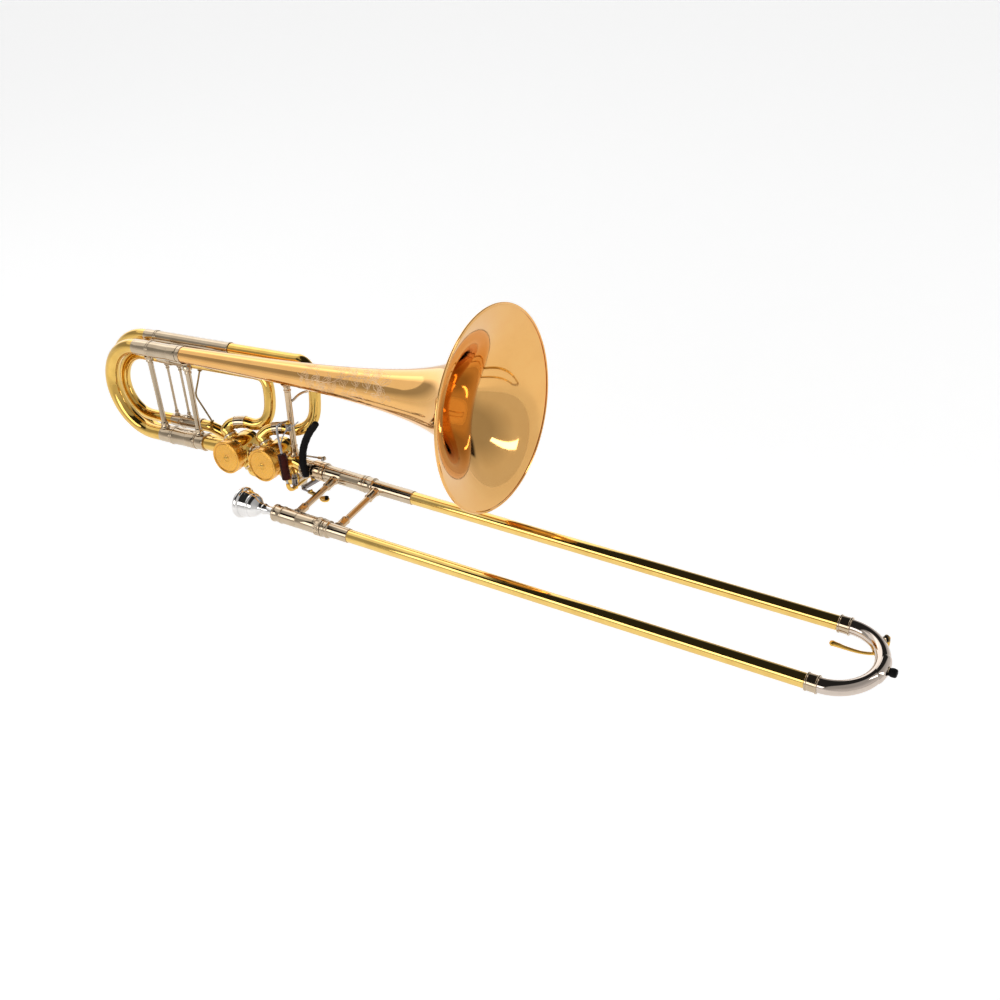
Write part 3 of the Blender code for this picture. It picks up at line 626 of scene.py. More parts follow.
def build_engraving():
    """Leaves, flowers and tendrils cut along the flank of the bell, as one mesh of fine lines."""
    lines = []

    def leaf(x, y, heading, size, bend=0.25):
        ahead = Vector((cos(heading), sin(heading)))
        beside = Vector((-sin(heading), cos(heading)))
        root = Vector((x, y))
        for side in (-1, 1):
            edge = []
            for i in range(13):
                t = i / 12
                wide = sin(pi * t) ** 0.8 * size * 0.26 * (1 + 0.12 * sin(9 * pi * t))
                edge.append(root + ahead * size * t + beside * (side * wide + bend * size * t * t))
            lines.append((edge, 0.34))
        rib = [root + ahead * size * t + beside * bend * size * t * t
            for t in [i / 6 * 0.92 for i in range(7)]]
        lines.append((rib, 0.26))
        for i in range(1, 5):
            t = i / 5.5
            start = root + ahead * size * t + beside * bend * size * t * t
            for side in (-1, 1):
                tip = start + ahead * size * 0.1 + beside * side * size * 0.17 * sin(pi * t)
                lines.append(([start, tip], 0.2))

    def flower(x, y, size, petals=6):
        for k in range(petals):
            heading = 2 * pi * k / petals + 0.3
            ahead = Vector((cos(heading), sin(heading)))
            beside = Vector((-sin(heading), cos(heading)))
            loop = []
            for i in range(15):
                t = i / 14
                loop.append(Vector((x, y)) + ahead * size * (0.22 + 0.78 * sin(pi * t) ** 0.6)
                    + beside * size * 0.42 * sin(2 * pi * t) * 0.8)
            lines.append((loop, 0.34))
            lines.append(([Vector((x, y)) + ahead * size * 0.3, Vector((x, y)) + ahead * size * 0.7], 0.24))
        core = [Vector((x, y)) + Vector((cos(a), sin(a))) * size * 0.2
            for a in [2 * pi * i / 12 for i in range(13)]]
        lines.append((core, 0.3))

    def tendril(x, y, heading, size, side):
        curl = []
        place = Vector((x, y))
        for i in range(26):
            t = i / 25
            heading += side * (0.05 + 0.34 * t * t)
            place = place + Vector((cos(heading), sin(heading))) * size * (1 - 0.75 * t) / 12
            curl.append(place.copy())
        lines.append((curl, 0.3))

    stem = [Vector((x, 7.0 * sin((x - 70) / 21.0) + 1.5 * sin((x - 70) / 7.0))) for x in range(70, 214, 3)]
    lines.append((stem, 0.5))
    for i, place in enumerate(stem[2:-2:3]):
        side = 1 if i % 2 else -1
        grow = 0.8 + 0.5 * (place.x - 70) / 140
        leaf(place.x, place.y, side * radians(52) + radians(8), 13.5 * grow, 0.3 * side * -1)
        leaf(place.x + 3, place.y, -side * radians(118), 9.5 * grow, 0.25 * side)
        tendril(place.x, place.y, side * radians(30), 15.0 * grow, side)
    for x, y, size in ((88, -13, 6.0), (112, 15, 7.0), (136, -16, 7.5), (160, 17, 8.5), (188, -17, 9.5),
            (206, 12, 7.5)):
        flower(x, y, size)
        leaf(x + size * 0.9, y, radians(10), size * 1.3)
        leaf(x - size * 0.9, y, radians(170), size * 1.3)

    verts = []
    faces = []
    for route, width in lines:
        for i, place in enumerate(route):
            along = route[min(i + 1, len(route) - 1)] - route[max(i - 1, 0)]
            beside = Vector((-along.y, along.x)).normalized()
            taper = width * 0.8 * (0.35 + 0.65 * sin(pi * min(max(i / (len(route) - 1), 0.08), 0.92)))
            for side in (-1, 1):
                mark = place + beside * side * taper
                verts.append(on_bell(mark.x, mark.y))
            if i:
                k = len(verts)
                faces.append((k - 4, k - 3, k - 1, k - 2))
    # The lines carry the paler painted highlight of the cuts.
    piece("bell_engraving", verts, faces, ENGRAVING_HIGHLIGHT, "bell", SECTION)


# ---------------------------------------------------------------- tuning slides
FAR_END = (1.0,)
BOTH_ENDS = (0.0, 1.0)


def ferrule(name, start, length, radius, side, height, host, bead_at, place=SECTION):
    """A soldered band round a tube, with a raised ring at the places named as shares of its length."""
    outline = [(radius, length), (radius, 0), (radius - 1.3, 0), (radius - 1.3, length)]
    turned(name, outline, (start, side, height), X, NICKEL, host, place, soft=0.35)
    for number, share in enumerate(bead_at):
        ring = [(radius + 0.65, 1.0), (radius + 0.8, 0.0), (radius + 0.65, -1.0), (radius - 0.4, -1.0),
            (radius - 0.4, 1.0)]
        turned(f"{name}_bead_{number}", ring, (start + 1 + (length - 2) * share, side, height), X, NICKEL,
            host, place, soft=0.6)


def build_main_tuning_slide():
    top = BELL_HEIGHT
    bend = half_turn((MAIN_BOW_UPPER_X, 0, top), (MAIN_BOW_LOWER_X, 0, 0), -X)
    upper = [Vector((x, 0, top)) for x in (UPPER_SLEEVE_X - 1.5, -207.0, MAIN_BOW_UPPER_X + 2)]
    lower = [Vector((x, 0, 0)) for x in (MAIN_BOW_LOWER_X + 2, -195.0, LOWER_SLEEVE_X - 1.5)]
    swept("main_bow_tube", upper + bend + lower, MAIN_BOW_RADIUS, BRASS, "main_tuning_bow", segments=48,
        wall=TUBE_WALL)
    host = "main_tuning_bow"
    for label, sleeve_x, sleeve_end, ferrule_x, height in (("upper", UPPER_SLEEVE_X, UPPER_SLEEVE_END_X,
            -221.0, top), ("lower", LOWER_SLEEVE_X, LOWER_SLEEVE_END_X, -194.0, 0.0)):
        ferrule(f"main_bow_{label}_ferrule", ferrule_x, sleeve_x - ferrule_x - 0.4, MAIN_BOW_RADIUS + 0.55,
            0, height, host, FAR_END)
        tube(f"main_bow_{label}_leg", (sleeve_x - 1, 0, height), sleeve_end - 6 - sleeve_x, LEG_RADIUS, 8.8,
            NICKEL, host)
        length = sleeve_end - sleeve_x - 0.4
        ring = RING_RADIUS + 0.75
        outline = [(RING_RADIUS + 0.35, length), (RING_RADIUS + 0.35, length - 15),
            (RING_RADIUS, length - 15.4), (RING_RADIUS, 2.6), (ring, 2.2), (ring, 0), (LEG_RADIUS + 0.4, 0),
            (LEG_RADIUS + 0.4, length)]
        turned(f"{label}_sleeve_skin", outline, (sleeve_x, 0, height), X, NICKEL, f"{label}_tuning_sleeve",
            soft=0.3)
    low, high = TUNING_BRACE_X
    brace("tuning_slide_brace", (low, 0, 0), (high, 0, top))


def brace(name, start, end):
    """A turned brace with flared feet and ringed collars, standing between two tuning sleeves."""
    foot = 5.6
    axis = (Vector(end) - Vector(start)).normalized()
    start = Vector(start) + axis * (RING_RADIUS - 1.0)
    length = (Vector(end) - axis * (RING_RADIUS - 1.0) - start).length
    half = [(0, 0), (foot + 0.9, 0), (foot + 0.9, 1.2), (foot - 0.3, 2.4), (foot - 0.9, 5.0),
        (foot - 0.5, 6.2), (foot - 0.5, 7.2), (3.6, 8.6)]
    outline = half + [(3.6 * 0.94, length / 2)] + ringed(half, length)[len(half):]
    turned(name + "_skin", outline[::-1], start, axis, NICKEL, steps=40, soft=0.35)


def loop_sleeve(name, begin, end, side, height):
    length = end - begin - 0.3
    radius = LOOP_SLEEVE_RADIUS
    outline = [(radius + 0.75, length), (radius + 0.75, length - 1.9), (radius, length - 2.3),
        (radius, 2.3), (radius + 0.75, 1.9), (radius + 0.75, 0), (LOOP_LEG_RADIUS + 0.4, 0),
        (LOOP_LEG_RADIUS + 0.4, length)]
    turned(name + "_skin", outline, (begin, side, height), X, NICKEL, soft=0.35)


def loop_bow(name, bow_x, upper, lower, upper_sleeve, lower_sleeve, insert):
    """A U bend with a nickel ferrule on each leg, and the plain legs that slide in the sleeves."""
    bend = half_turn((bow_x, *upper), (bow_x, *lower), -X)
    above = [Vector((x, *upper)) for x in (upper_sleeve[0] - 1.5, bow_x + 6, bow_x + 2)]
    below = [Vector((x, *lower)) for x in (bow_x + 2, bow_x + 6, lower_sleeve[0] - 1.5)]
    swept(name + "_tube", above + bend + below, LOOP_RADIUS, BRASS, name, segments=44, wall=TUBE_WALL)
    for label, spot, sleeve in (("upper", upper, upper_sleeve), ("lower", lower, lower_sleeve)):
        ferrule_start = max(bow_x + 1, sleeve[0] - 20)
        ferrule(f"{name}_{label}_ferrule", ferrule_start, sleeve[0] - ferrule_start - 0.4,
            LOOP_RADIUS + 0.5, *spot, name, FAR_END)
        tube(f"{name}_{label}_leg", (sleeve[0] - 1, *spot), insert + 1, LOOP_LEG_RADIUS, 6.5, NICKEL, name)


# ---------------------------------------------------------------- valves and main line
def port_direction(angle):
    """The direction at an angle round a valve, counted up from the section's x axis."""
    return Vector((cos(angle), 0, sin(angle)))


def build_valve(number, centre_x):
    name = f"valve_{number}"
    host = f"{name}_casing"
    front = (centre_x, CASING_FRONT, 0)
    depth = CASING_BACK - CASING_FRONT
    shell = [(CASING_RADIUS, 0.5), (CASING_RADIUS, 9.0), (CASING_RADIUS + 0.35, 9.4),
        (CASING_RADIUS + 0.35, 11.0), (CASING_RADIUS, 11.4), (CASING_RADIUS, depth - 7),
        (CASING_RADIUS + 0.8, depth - 6.4), (CASING_RADIUS + 0.8, depth - 1.2), (CASING_RADIUS, depth),
        (15.5, depth), (15.0, depth - 0.9), (9.4, depth - 0.9), (8.8, depth + 0.8), (5.2, depth + 0.8),
        (4.9, depth - 0.2), (4.2, depth - 3), (18.6, depth - 3), (18.6, 0.5)]
    turned(host + "_skin", shell, front, Y, BRASS, steps=96, soft=0.3)
    main = port_direction(0)
    loop = port_direction(LOOP_PORT_ANGLE)
    centre = Vector((centre_x, 0, 0))
    for label, way, radius in (("main_in", -main, 10.4), ("main_out", main, 10.4), ("loop_out", loop, 8.7),
            ("loop_in", -loop, 8.7)):
        stub = [(radius + 2.6, 19.0), (radius + 1.2, 20.6), (radius + 0.35, 22.0), (radius + 0.35, 25.3),
            (radius, 26.4), (radius - 1.6, 26.4), (radius - 1.6, 17.5), (radius + 2.6, 17.5)]
        turned(f"{name}_{label}_port", stub, centre, way, BRASS, host, soft=0.4)
        band = [(radius + 0.75, 23.0), (radius + 0.75, 25.6), (radius - 0.5, 25.6), (radius - 0.5, 23.0)]
        turned(f"{name}_{label}_band", band, centre, way, NICKEL, host, soft=0.5)

    cap = [(0, 4.6), (5.0, 4.6), (5.4, 4.9), (18.2, 4.9), (18.7, 4.5), (19.3, 4.5), (19.8, 5.2),
        (20.6, 5.7), (21.6, 5.6), (22.3, 4.8), (22.3, -5.4), (21.7, -6.0), (21.35, -6.0), (21.35, 2.4),
        (0, 2.4)]

    def grip(angle, radius, height):
        return 0.16 * sin(72 * angle) if radius > 22 and -5.0 < height < 4.4 else 0.0

    turned(f"{name}_cap_skin", cap, front, -Y, CAP_GOLD, f"{name}_front_cap", steps=288, soft=0.3,
        ripple=grip)
    boss = Vector(front) + Vector((0, -4.5, 0))
    screw(f"{name}_cap_screw", boss, -Y, 2.9, 1.15, GOLD, f"{name}_front_cap")

    for k in range(3):
        angle = 2 * pi * k / 3 + 0.5
        spot = Vector((centre_x + 12.2 * cos(angle), CASING_BACK - 0.9, 12.2 * sin(angle)))
        screw(f"{name}_plate_screw_{k}", spot, Y, 1.7, 0.9, STEEL, host)
    for label, angle in (("rest", STOP_ARM_ANGLE - radians(37)), ("engaged",
            STOP_ARM_ANGLE + radians(101))):
        spot = centre + port_direction(angle) * 10.2 + Vector((0, CASING_BACK - 1.0, 0))
        tube(f"{name}_{label}_stop", spot, 5.6, 2.2, 0.8, RUBBER, host, axis=Y, steps=32)

    rotor = frame["nodes"][f"{name}_rotor"]
    rotor.data.materials.clear()
    rotor.data.materials.append(BRASS)
    arm = f"{name}_stop_arm"
    tip = (STOP_ARM_REACH * cos(STOP_ARM_ANGLE), STOP_ARM_REACH * sin(STOP_ARM_ANGLE))
    edge = arc(6.0, (0, 0), STOP_ARM_ANGLE + pi / 3, 4 * pi / 3, 40)
    edge += arc(3.4, tip, STOP_ARM_ANGLE - pi / 2, pi, 20)
    upright = SECTION @ Matrix.Translation(centre * MM + Vector((0, CASING_BACK + 4.5, 0)) * MM)
    flat_plate(arm + "_skin", edge, 2.4, BRASS, arm, upright @ Matrix.Rotation(pi / 2, 4, "X"))
    nut = Vector((centre_x, CASING_BACK + 5.6, 0))
    screw(f"{name}_arm_screw", nut, Y, 4.1, 2.6, STEEL, arm)
    pin = centre + Vector((tip[0], CASING_BACK + 5.6, tip[1]))
    turned(f"{name}_arm_pin", [(0, 8.6), (1.7, 8.2), (1.9, 7.4), (1.9, 6.9), (1.0, 6.7), (1.0, 0.4),
        (2.3, 0.2), (2.3, -0.4), (0, -0.4)], pin, Y, STEEL, arm, steps=32)


def build_main_line():
    first, second = VALVE_X
    start = LOWER_SLEEVE_END_X
    host = "valve_1_inlet_tube"
    length = first - PORT_REACH - 0.3 - start
    tube("valve_1_inlet_skin", (start + 14, 0, 0), length - 14, 9.7, 8.6, BRASS, host)
    ferrule("valve_1_inlet_ferrule", start + 0.2, 17, RING_RADIUS - 0.1, 0, 0, host, BOTH_ENDS)
    start = first + PORT_REACH + 0.3
    length = second - PORT_REACH - 0.3 - start
    tube("valve_joint_skin", (start, 0, 0), length, 9.9, 8.6, NICKEL, "valve_joint_tube")
    start = second + PORT_REACH + 0.5
    route = [(SECTION @ (Vector((start + d, 0, 0)) * MM)) / MM for d in (0, 4, 8)]
    route += [Vector((x, SIDE, 0)) for x in (-52, -42, -29)]
    swept("gooseneck_skin", spline(route), NECK_RADIUS, BRASS, place=ROW, segments=48, wall=TUBE_WALL)
    ferrule("gooseneck_ferrule", -56.0, 18.6, NECK_RADIUS + 0.7, SIDE, 0, "gooseneck", BOTH_ENDS, place=ROW)


def loop_route(name):
    """Centre line of a loop tube, from its valve port to its tuning sleeve."""
    valve = {"f": VALVE_X[0], "g": VALVE_X[1]}[name[0]]
    way = port_direction(LOOP_PORT_ANGLE + (pi if name.endswith("return") else 0.0))
    start = Vector((valve, 0, 0)) + way * (PORT_REACH + 0.5)
    routes = {
        "f_feed": [(-70, 6, 33), (-54, 11, 36), (-36, 15, 34), (-22, 19, 41), (-16, 23, 58), (-15, 24, 85),
            (-22, 25, 98), (-36, *F_UPPER), (-50, *F_UPPER), (F_UPPER_SLEEVE[1] + 0.3, *F_UPPER)],
        "f_return": [(-32, 9, -30), (-36, 23, -32), (-54, 32, -27), (-84, 30, -9), (-108, 28, 4),
            (-126, 25.5, 11), (-136, *F_LOWER), (F_LOWER_SLEEVE[1] + 0.3, *F_LOWER)],
        "g_feed": [(-7, 6, 34), (10, 12, 38), (28, 17, 36), (44, 23, 42), (53, 28, 56), (56, 30, 80),
            (55, 31, 104), (50, 32, 118), (36, *G_UPPER), (16, *G_UPPER),
            (G_UPPER_SLEEVE[1] + 0.3, *G_UPPER)],
        "g_return": [(28, 9, -30), (25, 21, -36), (8, 33, -35), (-18, 44, -22), (-50, 48, -14),
            (-88, 48, -15), (-122, *G_LOWER), (G_LOWER_SLEEVE[1] + 0.3, *G_LOWER)],
    }
    return spline([start + way * d for d in (0, 3, 6)] + routes[name], 12)


def band(name, route, share, length, radius, finish, host):
    """A soldered band that follows a bent tube, about a share of the way along its route."""
    middle = round(share * (len(route) - 1))
    first = last = middle
    while first > 0 and (route[first] - route[middle]).length < length / 2:
        first -= 1
    while last < len(route) - 1 and (route[last] - route[middle]).length < length / 2:
        last += 1
    part = spline(route[first:last + 1], 4)
    count = len(part)
    radii = [radius + (0.35 if i < 4 or i > count - 5 else 0.0) for i in range(count)]
    swept(name, part, radii, finish, host, segments=44, wall=0.8)


def build_loops():
    for name in ("f_feed", "f_return", "g_feed", "g_return"):
        node_name = f"{name[0]}_loop_{name[2:]}_tube"
        route = loop_route(name)
        swept(node_name + "_skin", route, LOOP_RADIUS, BRASS, segments=44, wall=TUBE_WALL)
        for number, share in enumerate({"f_feed": (0.31,), "f_return": (0.3,), "g_feed": (0.29,),
                "g_return": (0.33,)}[name]):
            band(f"{node_name}_band_{number}", route, share, 13.0, LOOP_RADIUS + 0.45, NICKEL, node_name)
    loop_sleeve("f_upper_sleeve", *F_UPPER_SLEEVE, *F_UPPER)
    loop_sleeve("f_lower_sleeve", *F_LOWER_SLEEVE, *F_LOWER)
    loop_sleeve("g_upper_sleeve", *G_UPPER_SLEEVE, *G_UPPER)
    loop_sleeve("g_lower_sleeve", *G_LOWER_SLEEVE, *G_LOWER)
    loop_bow("f_tuning_bow", F_BOW_X, F_UPPER, F_LOWER, F_UPPER_SLEEVE, F_LOWER_SLEEVE, 30)
    loop_bow("g_tuning_bow", G_BOW_X, G_UPPER, G_LOWER, G_UPPER_SLEEVE, G_LOWER_SLEEVE, 45)


def build_braces():
    low = Vector((REAR_BRACE_X[0], 0, 0))
    high = Vector((REAR_BRACE_X[1], 0, BELL_HEIGHT))
    axis = (high - low).normalized()
    low += axis * (RING_RADIUS - 0.6)
    high -= axis * (bell_radius(REAR_BRACE_X[1]) - 0.6)
    length = (high - low).length
    outline = [(0, length), (7.2, length), (7.0, length - 1.4), (4.6, length - 3.0), (5.9, length - 5.0),
        (6.6, length - 7.8), (5.9, length - 10.6), (4.3, length - 12.0), (4.9, length - 13.6),
        (4.9, length - 15.4), (4.0, length - 16.6), (3.6, length / 2), (3.8, 9.0), (5.0, 7.6), (5.0, 6.4),
        (4.6, 4.8), (5.2, 2.2), (6.6, 1.0), (6.6, 0), (0, 0)]
    turned("rear_bell_brace_skin", outline, low, axis, NICKEL, steps=48, soft=0.5)
    for name, low_x, high_x, reach in (("f_bow_brace", -188.5, -194.0, LOOP_RADIUS + 0.5),
            ("f_sleeve_brace", -166.0, -171.0, LOOP_SLEEVE_RADIUS)):
        side = F_UPPER[0]
        thin_brace(name, (low_x, side, F_LOWER[1] + reach - 0.5), (high_x, side, F_UPPER[1] - reach + 0.5))
    x = BELL_BRACE_X
    low = Vector((x, 0, 9.3))
    length = BELL_HEIGHT - bell_radius(x) - 8.6
    outline = [(0, length), (7.6, length), (7.4, length - 1.1), (5.0, length - 3.0), (4.0, length - 7.0),
        (5.0, length - 8.0), (5.0, length - 9.4), (4.1, length - 10.6), (4.0, 15), (5.0, 14), (5.0, 12.6),
        (4.4, 11.4), (4.4, 5.0), (5.8, 1.6), (6.8, 0.8), (6.8, 0), (0, 0)]
    turned("bell_brace_skin", outline, low, Z, NICKEL_WARM, steps=48, soft=0.5)
    stay = [(-134, 25, 92.5), (-140, 24.6, 76), (-146, 24, 60), (-146.5, 24, 55), (-145, 24, 50),
        (-135, 24.6, 35), (-125, 25, 20)]
    swept("f_loop_stay_skin", spline(stay, 6), 1.25, DARK_BRASS, segments=20)
    for label, spot, way in (("upper", stay[0], (0.4, 0, 1)), ("lower", stay[-1], (0.55, 0, -0.8))):
        foot = [(0, 1.6), (1.6, 1.4), (2.9, 0.2), (3.2, -1.0), (0, -1.0)]
        point = Vector(spot)
        turned(f"f_loop_stay_{label}_foot", foot[::-1], point, way, DARK_BRASS, "f_loop_stay", steps=28)
    strut = [(40.0, 1, 83), (42.5, 3, 84), (46, 10, 89), (49, 17, 91), (51.5, 22.4, 91)]
    swept("loop_strut_skin", spline(strut), 1.7, NICKEL, segments=24)


def thin_brace(name, start, end):
    """A slim turned rod with a round foot and a small collar at each end."""
    start = Vector(start)
    end = Vector(end)
    length = (end - start).length
    half = [(0, 0), (4.0, 0), (4.0, 0.9), (2.7, 2.6), (2.3, 4.2), (2.9, 5.2), (2.9, 6.2), (1.9, 7.4),
        (1.75, 12)]
    turned(name + "_skin", ringed(half, length), start, end - start, NICKEL, steps=36, soft=0.35)


# ---------------------------------------------------------------- thumb levers
def knuckled_barrel(name, point, axis, length, radius, place):
    """A hinge barrel with end collars."""
    outline = [(radius + 0.5, length), (radius + 0.5, length - 1.4), (radius, length - 1.8), (radius, 1.8),
        (radius + 0.5, 1.4), (radius + 0.5, 0), (1.9, 0), (1.9, length)]
    turned(name + "_skin", outline, point, axis, STEEL_GREY, place=place, steps=40, soft=0.3)


def build_f_lever():
    x, y = F_LEVER_AXIS
    place = SECTION @ Matrix.Translation(Vector((x, y, 0)) * MM)
    for name, low in (("f_lever_upper_hinge", 50.0), ("f_lever_lower_hinge", -24.0)):
        knuckled_barrel(name, (0, 0, low), Z, 9, 3.6, place)
    arm = [(BELL_BRACE_X - x, -y, 54.5), (-4.5, 8.5, 54.5), (-1.0, 3.2, 54.5)]
    swept("f_lever_upper_bracket", spline(arm), 1.9, GOLD, "f_lever_upper_hinge", place, segments=28)
    arm = [(BELL_BRACE_X - x - 1, -y - 8.5, -5.5), (-3, 4, -12), (-0.6, 3.0, -19.5)]
    swept("f_lever_lower_bracket", spline(arm), 2.3, GOLD, "f_lever_lower_hinge", place, segments=28)
    wire = [(0, 0, 51), (0, 0, 61), (-1, -3, 62.6), (-3, -9, 62.5), (-5.2, -13.2, 60.6), (-6, -14.6, 57),
        (-5.6, -15.2, 50), (-2, -16, 26), (1.5, -16, -14), (1.7, -15.4, -20), (1.5, -12.5, -25.4),
        (1, -6, -28), (0.2, -0.8, -28.2), (0, 0, -26), (0, 0, -16)]
    swept("f_lever_wire", spline(wire, 6), WIRE_RADIUS, STEEL, "f_lever", place, segments=24)
    ball("f_lever_top_ball", (0, 0, 60.5), 3.3, GOLD, "f_lever", place)
    clevis = [(1.75, -15.6, -18), (1.6, -14.2, -22.6), (1.3, -10.5, -26.6), (1, -6, -28),
        (0.5, -2.5, -28.2)]
    swept("f_lever_clevis", spline(clevis), 2.7, GOLD, "f_lever", place, segments=30, rounded=True)
    rest = [(0.5, -4.0, 53), (6, -5.2, 58), (14.0, -5.0, 61), (21.7, -5.0, 67)]
    swept("f_lever_spring_wire_end", spline(rest), 0.8, STEEL, "f_lever_upper_hinge", place, segments=16,
        rounded=True)
    hook = [(0.5, -4.0, 53), (-5.5, -5.0, 44), (-12.0, -5.0, 31.5), (-12.6, -5.2, 27), (-11.0, -6.0, 23.5),
        (-9.2, -6.6, 25.5)]
    swept("f_lever_spring_wire_hook", spline(hook), 0.8, STEEL, "f_lever_upper_hinge", place, segments=16,
        rounded=True)
    low = Vector((1.2, -16, -10.5))
    high = Vector((-1.8, -16, 23.5))
    length = (high - low).length

    def wrinkle(angle, radius, height):
        seam = -0.45 if abs((angle + 0.35) % (2 * pi) - 0.35) < 0.07 else 0.0
        return (seam + 0.1 * sin(2.1 * height + 2 * sin(angle)) * sin(0.7 * height)) if radius > 5 else 0.0

    grip = [(4.7, 0.0), (5.4, 0.25), (5.7, 1.0)] + [(5.6 + 0.12 * sin(0.9 * h), h) for h in range(2, 34)]
    grip += [(5.7, length - 0.9), (5.4, length - 0.25), (4.7, length), (2.1, length), (2.1, 0.0)]
    obj = turned("f_lever_grip_skin", grip, low, high - low, RED_LEATHER, place=place, steps=96, soft=0,
        ripple=wrinkle)
    stitches = []
    turn = (high - low).to_track_quat("Z", "Y")
    for k in range(11):
        for side in (-1, 1):
            angle = side * 0.2
            height = 2.0 + 3.0 * k
            local = [Vector((5.75 * cos(angle), 5.75 * sin(angle), height)),
                Vector((6.0 * cos(angle * 0.6), 6.0 * sin(angle * 0.6), height + 0.8)),
                Vector((5.75 * cos(angle * 0.2), 5.75 * sin(angle * 0.2), height + 1.6))]
            stitches.append([low + turn @ p for p in local])
    for k, route in enumerate(stitches):
        swept(f"f_lever_grip_stitch_{k}", route, 0.28, THREAD, "f_lever_grip", place, segments=10,
            rounded=True)
    reach = LINK_ROD_SIDE - y
    arm = [(0, 2.2, -27.8), (-0.4, reach * 0.25, -27.0), (-1.2, reach * 0.5, -26.2),
        (-3.0, reach * 0.8, -26.0), (-4.5, reach - 3.2, -26.0)]
    swept("f_lever_arm_skin", spline(arm), [1.9 - 0.5 * i / 32 for i in range(33)], GOLD, place=place,
        segments=28, rounded=True)
    turned("f_lever_foot_collar", [(3.4, 2.4), (3.6, 0), (3.4, -2.4), (1.6, -2.4), (1.6, 2.4)],
        (0, 0, -27.6), Z, GOLD, "f_lever", place, steps=36, soft=0.6)


def build_g_lever():
    x, height = G_LEVER_AXIS
    place = SECTION @ Matrix.Translation(Vector((x, 0, height)) * MM)
    knuckled_barrel("g_lever_hinge", (0, -16, 0), Y, 34, 3.4, place)
    saddle = [(0, 4, 3.0), (-1.0, 3.5, 9), (-4.0, 2.5, 15.5), (-5.0, 1.5, 19.0)]
    swept("g_lever_saddle", spline(saddle), [2.6, 2.5, 2.4] * 8 + [2.4], GOLD, "g_lever_hinge", place,
        segments=28)
    side = LINK_ROD_SIDE - 3.4
    wire = [(29.3, -20, -5.9), (16, -20, -2.2), (5, -20, -0.3), (1.6, -19.6, 0), (0.3, -17.6, 0),
        (0, -14, 0), (0, 0, 0), (0, side - 4, 0), (-0.3, side - 0.6, 1.4), (-1.6, side, 5),
        (-3.2, side, 11), (-3.4, side, 22)]
    swept("g_lever_wire", spline(wire, 6), WIRE_RADIUS, STEEL, "g_lever", place, segments=24, rounded=True)
    way = Vector((0.2, 0, 1))
    seat = Vector((36.2, -20, -8.5))
    paddle = [(0, 2.6), (4.0, 2.7), (5.3, 3.1), (5.9, 2.9), (6.2, 2.2), (6.2, 0.8), (5.6, 0.1), (3.0, 0),
        (0, 0)]
    turned("g_lever_paddle_skin", paddle, seat, way, GOLD, place=place, soft=0.4)
    shank = [(24.0, -20, -4.2), (27.0, -20, -5.1), (29.5, -20, -6.0), (33.0, -20, -7.4)]
    swept("g_lever_shank", spline(shank), 2.1, GOLD, "g_lever_paddle", place, segments=28, rounded=True)
    screw("g_lever_thumb_screw", (16.0, -20, 0.2), (0.2, 0, 1), 2.0, 2.2, GOLD, "g_lever", place)
    tube("g_lever_clamp", (11.5, -20, -1.2), 9.5, 2.7, 1.3, DARK_GOLD, "g_lever", place, axis=(1, 0, -0.2),
        steps=32)
    cork = [(0, 2.2), (2.2, 2.2), (2.5, 1.9), (2.5, 0), (0, 0)]
    turned("g_lever_stop_pad", cork, seat + way * 3.0 + Vector((1.8, 1.5, 0)), way, RUBBER,
        "g_lever_paddle", place, steps=32, soft=0.3)


def build_springs():
    for name, axis_point, length, turns in (("f_lever_spring", (*F_LEVER_AXIS, -14.4), 4.6, 3),
            ("g_lever_spring", (G_LEVER_AXIS[0], 18.8, G_LEVER_AXIS[1]), 3.2, 2)):
        upright = name.startswith("f")
        start = Vector(axis_point)
        route = []
        count = 24 * turns
        for i in range(count + 1):
            angle = 2 * pi * i / 24
            along = length * i / count
            ring = (2.9 * cos(angle), 2.9 * sin(angle))
            route.append(start + (Vector((*ring, along)) if upright else Vector((ring[0], along, ring[1]))))
        swept(name + "_skin", route, 0.5, STEEL, segments=14)


def build_links():
    pin = STOP_ARM_REACH * port_direction(STOP_ARM_ANGLE)
    ends = {
        "f_link_rod": (Vector((F_LEVER_AXIS[0] - 4.5, LINK_ROD_SIDE, -26.0)),
            Vector((VALVE_X[0], 0, 0)) + pin),
        "g_link_rod": (Vector((G_LEVER_AXIS[0] - 3.4, LINK_ROD_SIDE, G_LEVER_AXIS[1] + 21)),
            Vector((VALVE_X[1], 0, 0)) + pin),
    }
    for name, (near, far) in ends.items():
        far = far + Vector((0, LINK_ROD_SIDE, 0))
        along = (far - near).normalized()
        span_length = (far - near).length
        swept(name + "_skin", [near + along * 3, near + along * (span_length - 3)], 1.35, STEEL,
            segments=24)
        for label, spot, way in (("lever", near, along), ("valve", far, -along)):
            socket = [(0, 9.5), (1.6, 9.5), (2.1, 9.0), (2.1, 3.4), (1.7, 2.4), (0, 2.4)]
            turned(f"{name}_{label}_socket", socket, spot, way, NICKEL, name, steps=32)
            eye = [(2.9, 1.7), (3.1, 0), (2.9, -1.7), (1.2, -1.7), (1.2, 1.7)]
            turned(f"{name}_{label}_eye", eye, spot, Y, NICKEL, name, steps=36, soft=0.5)
    for host, spot in (("f_lever_arm", ends["f_link_rod"][0]), ("g_lever", ends["g_link_rod"][0])):
        screw(f"{host}_link_screw", spot + Vector((0, 1.6, 0)), Y, 2.2, 1.2, STEEL, host)


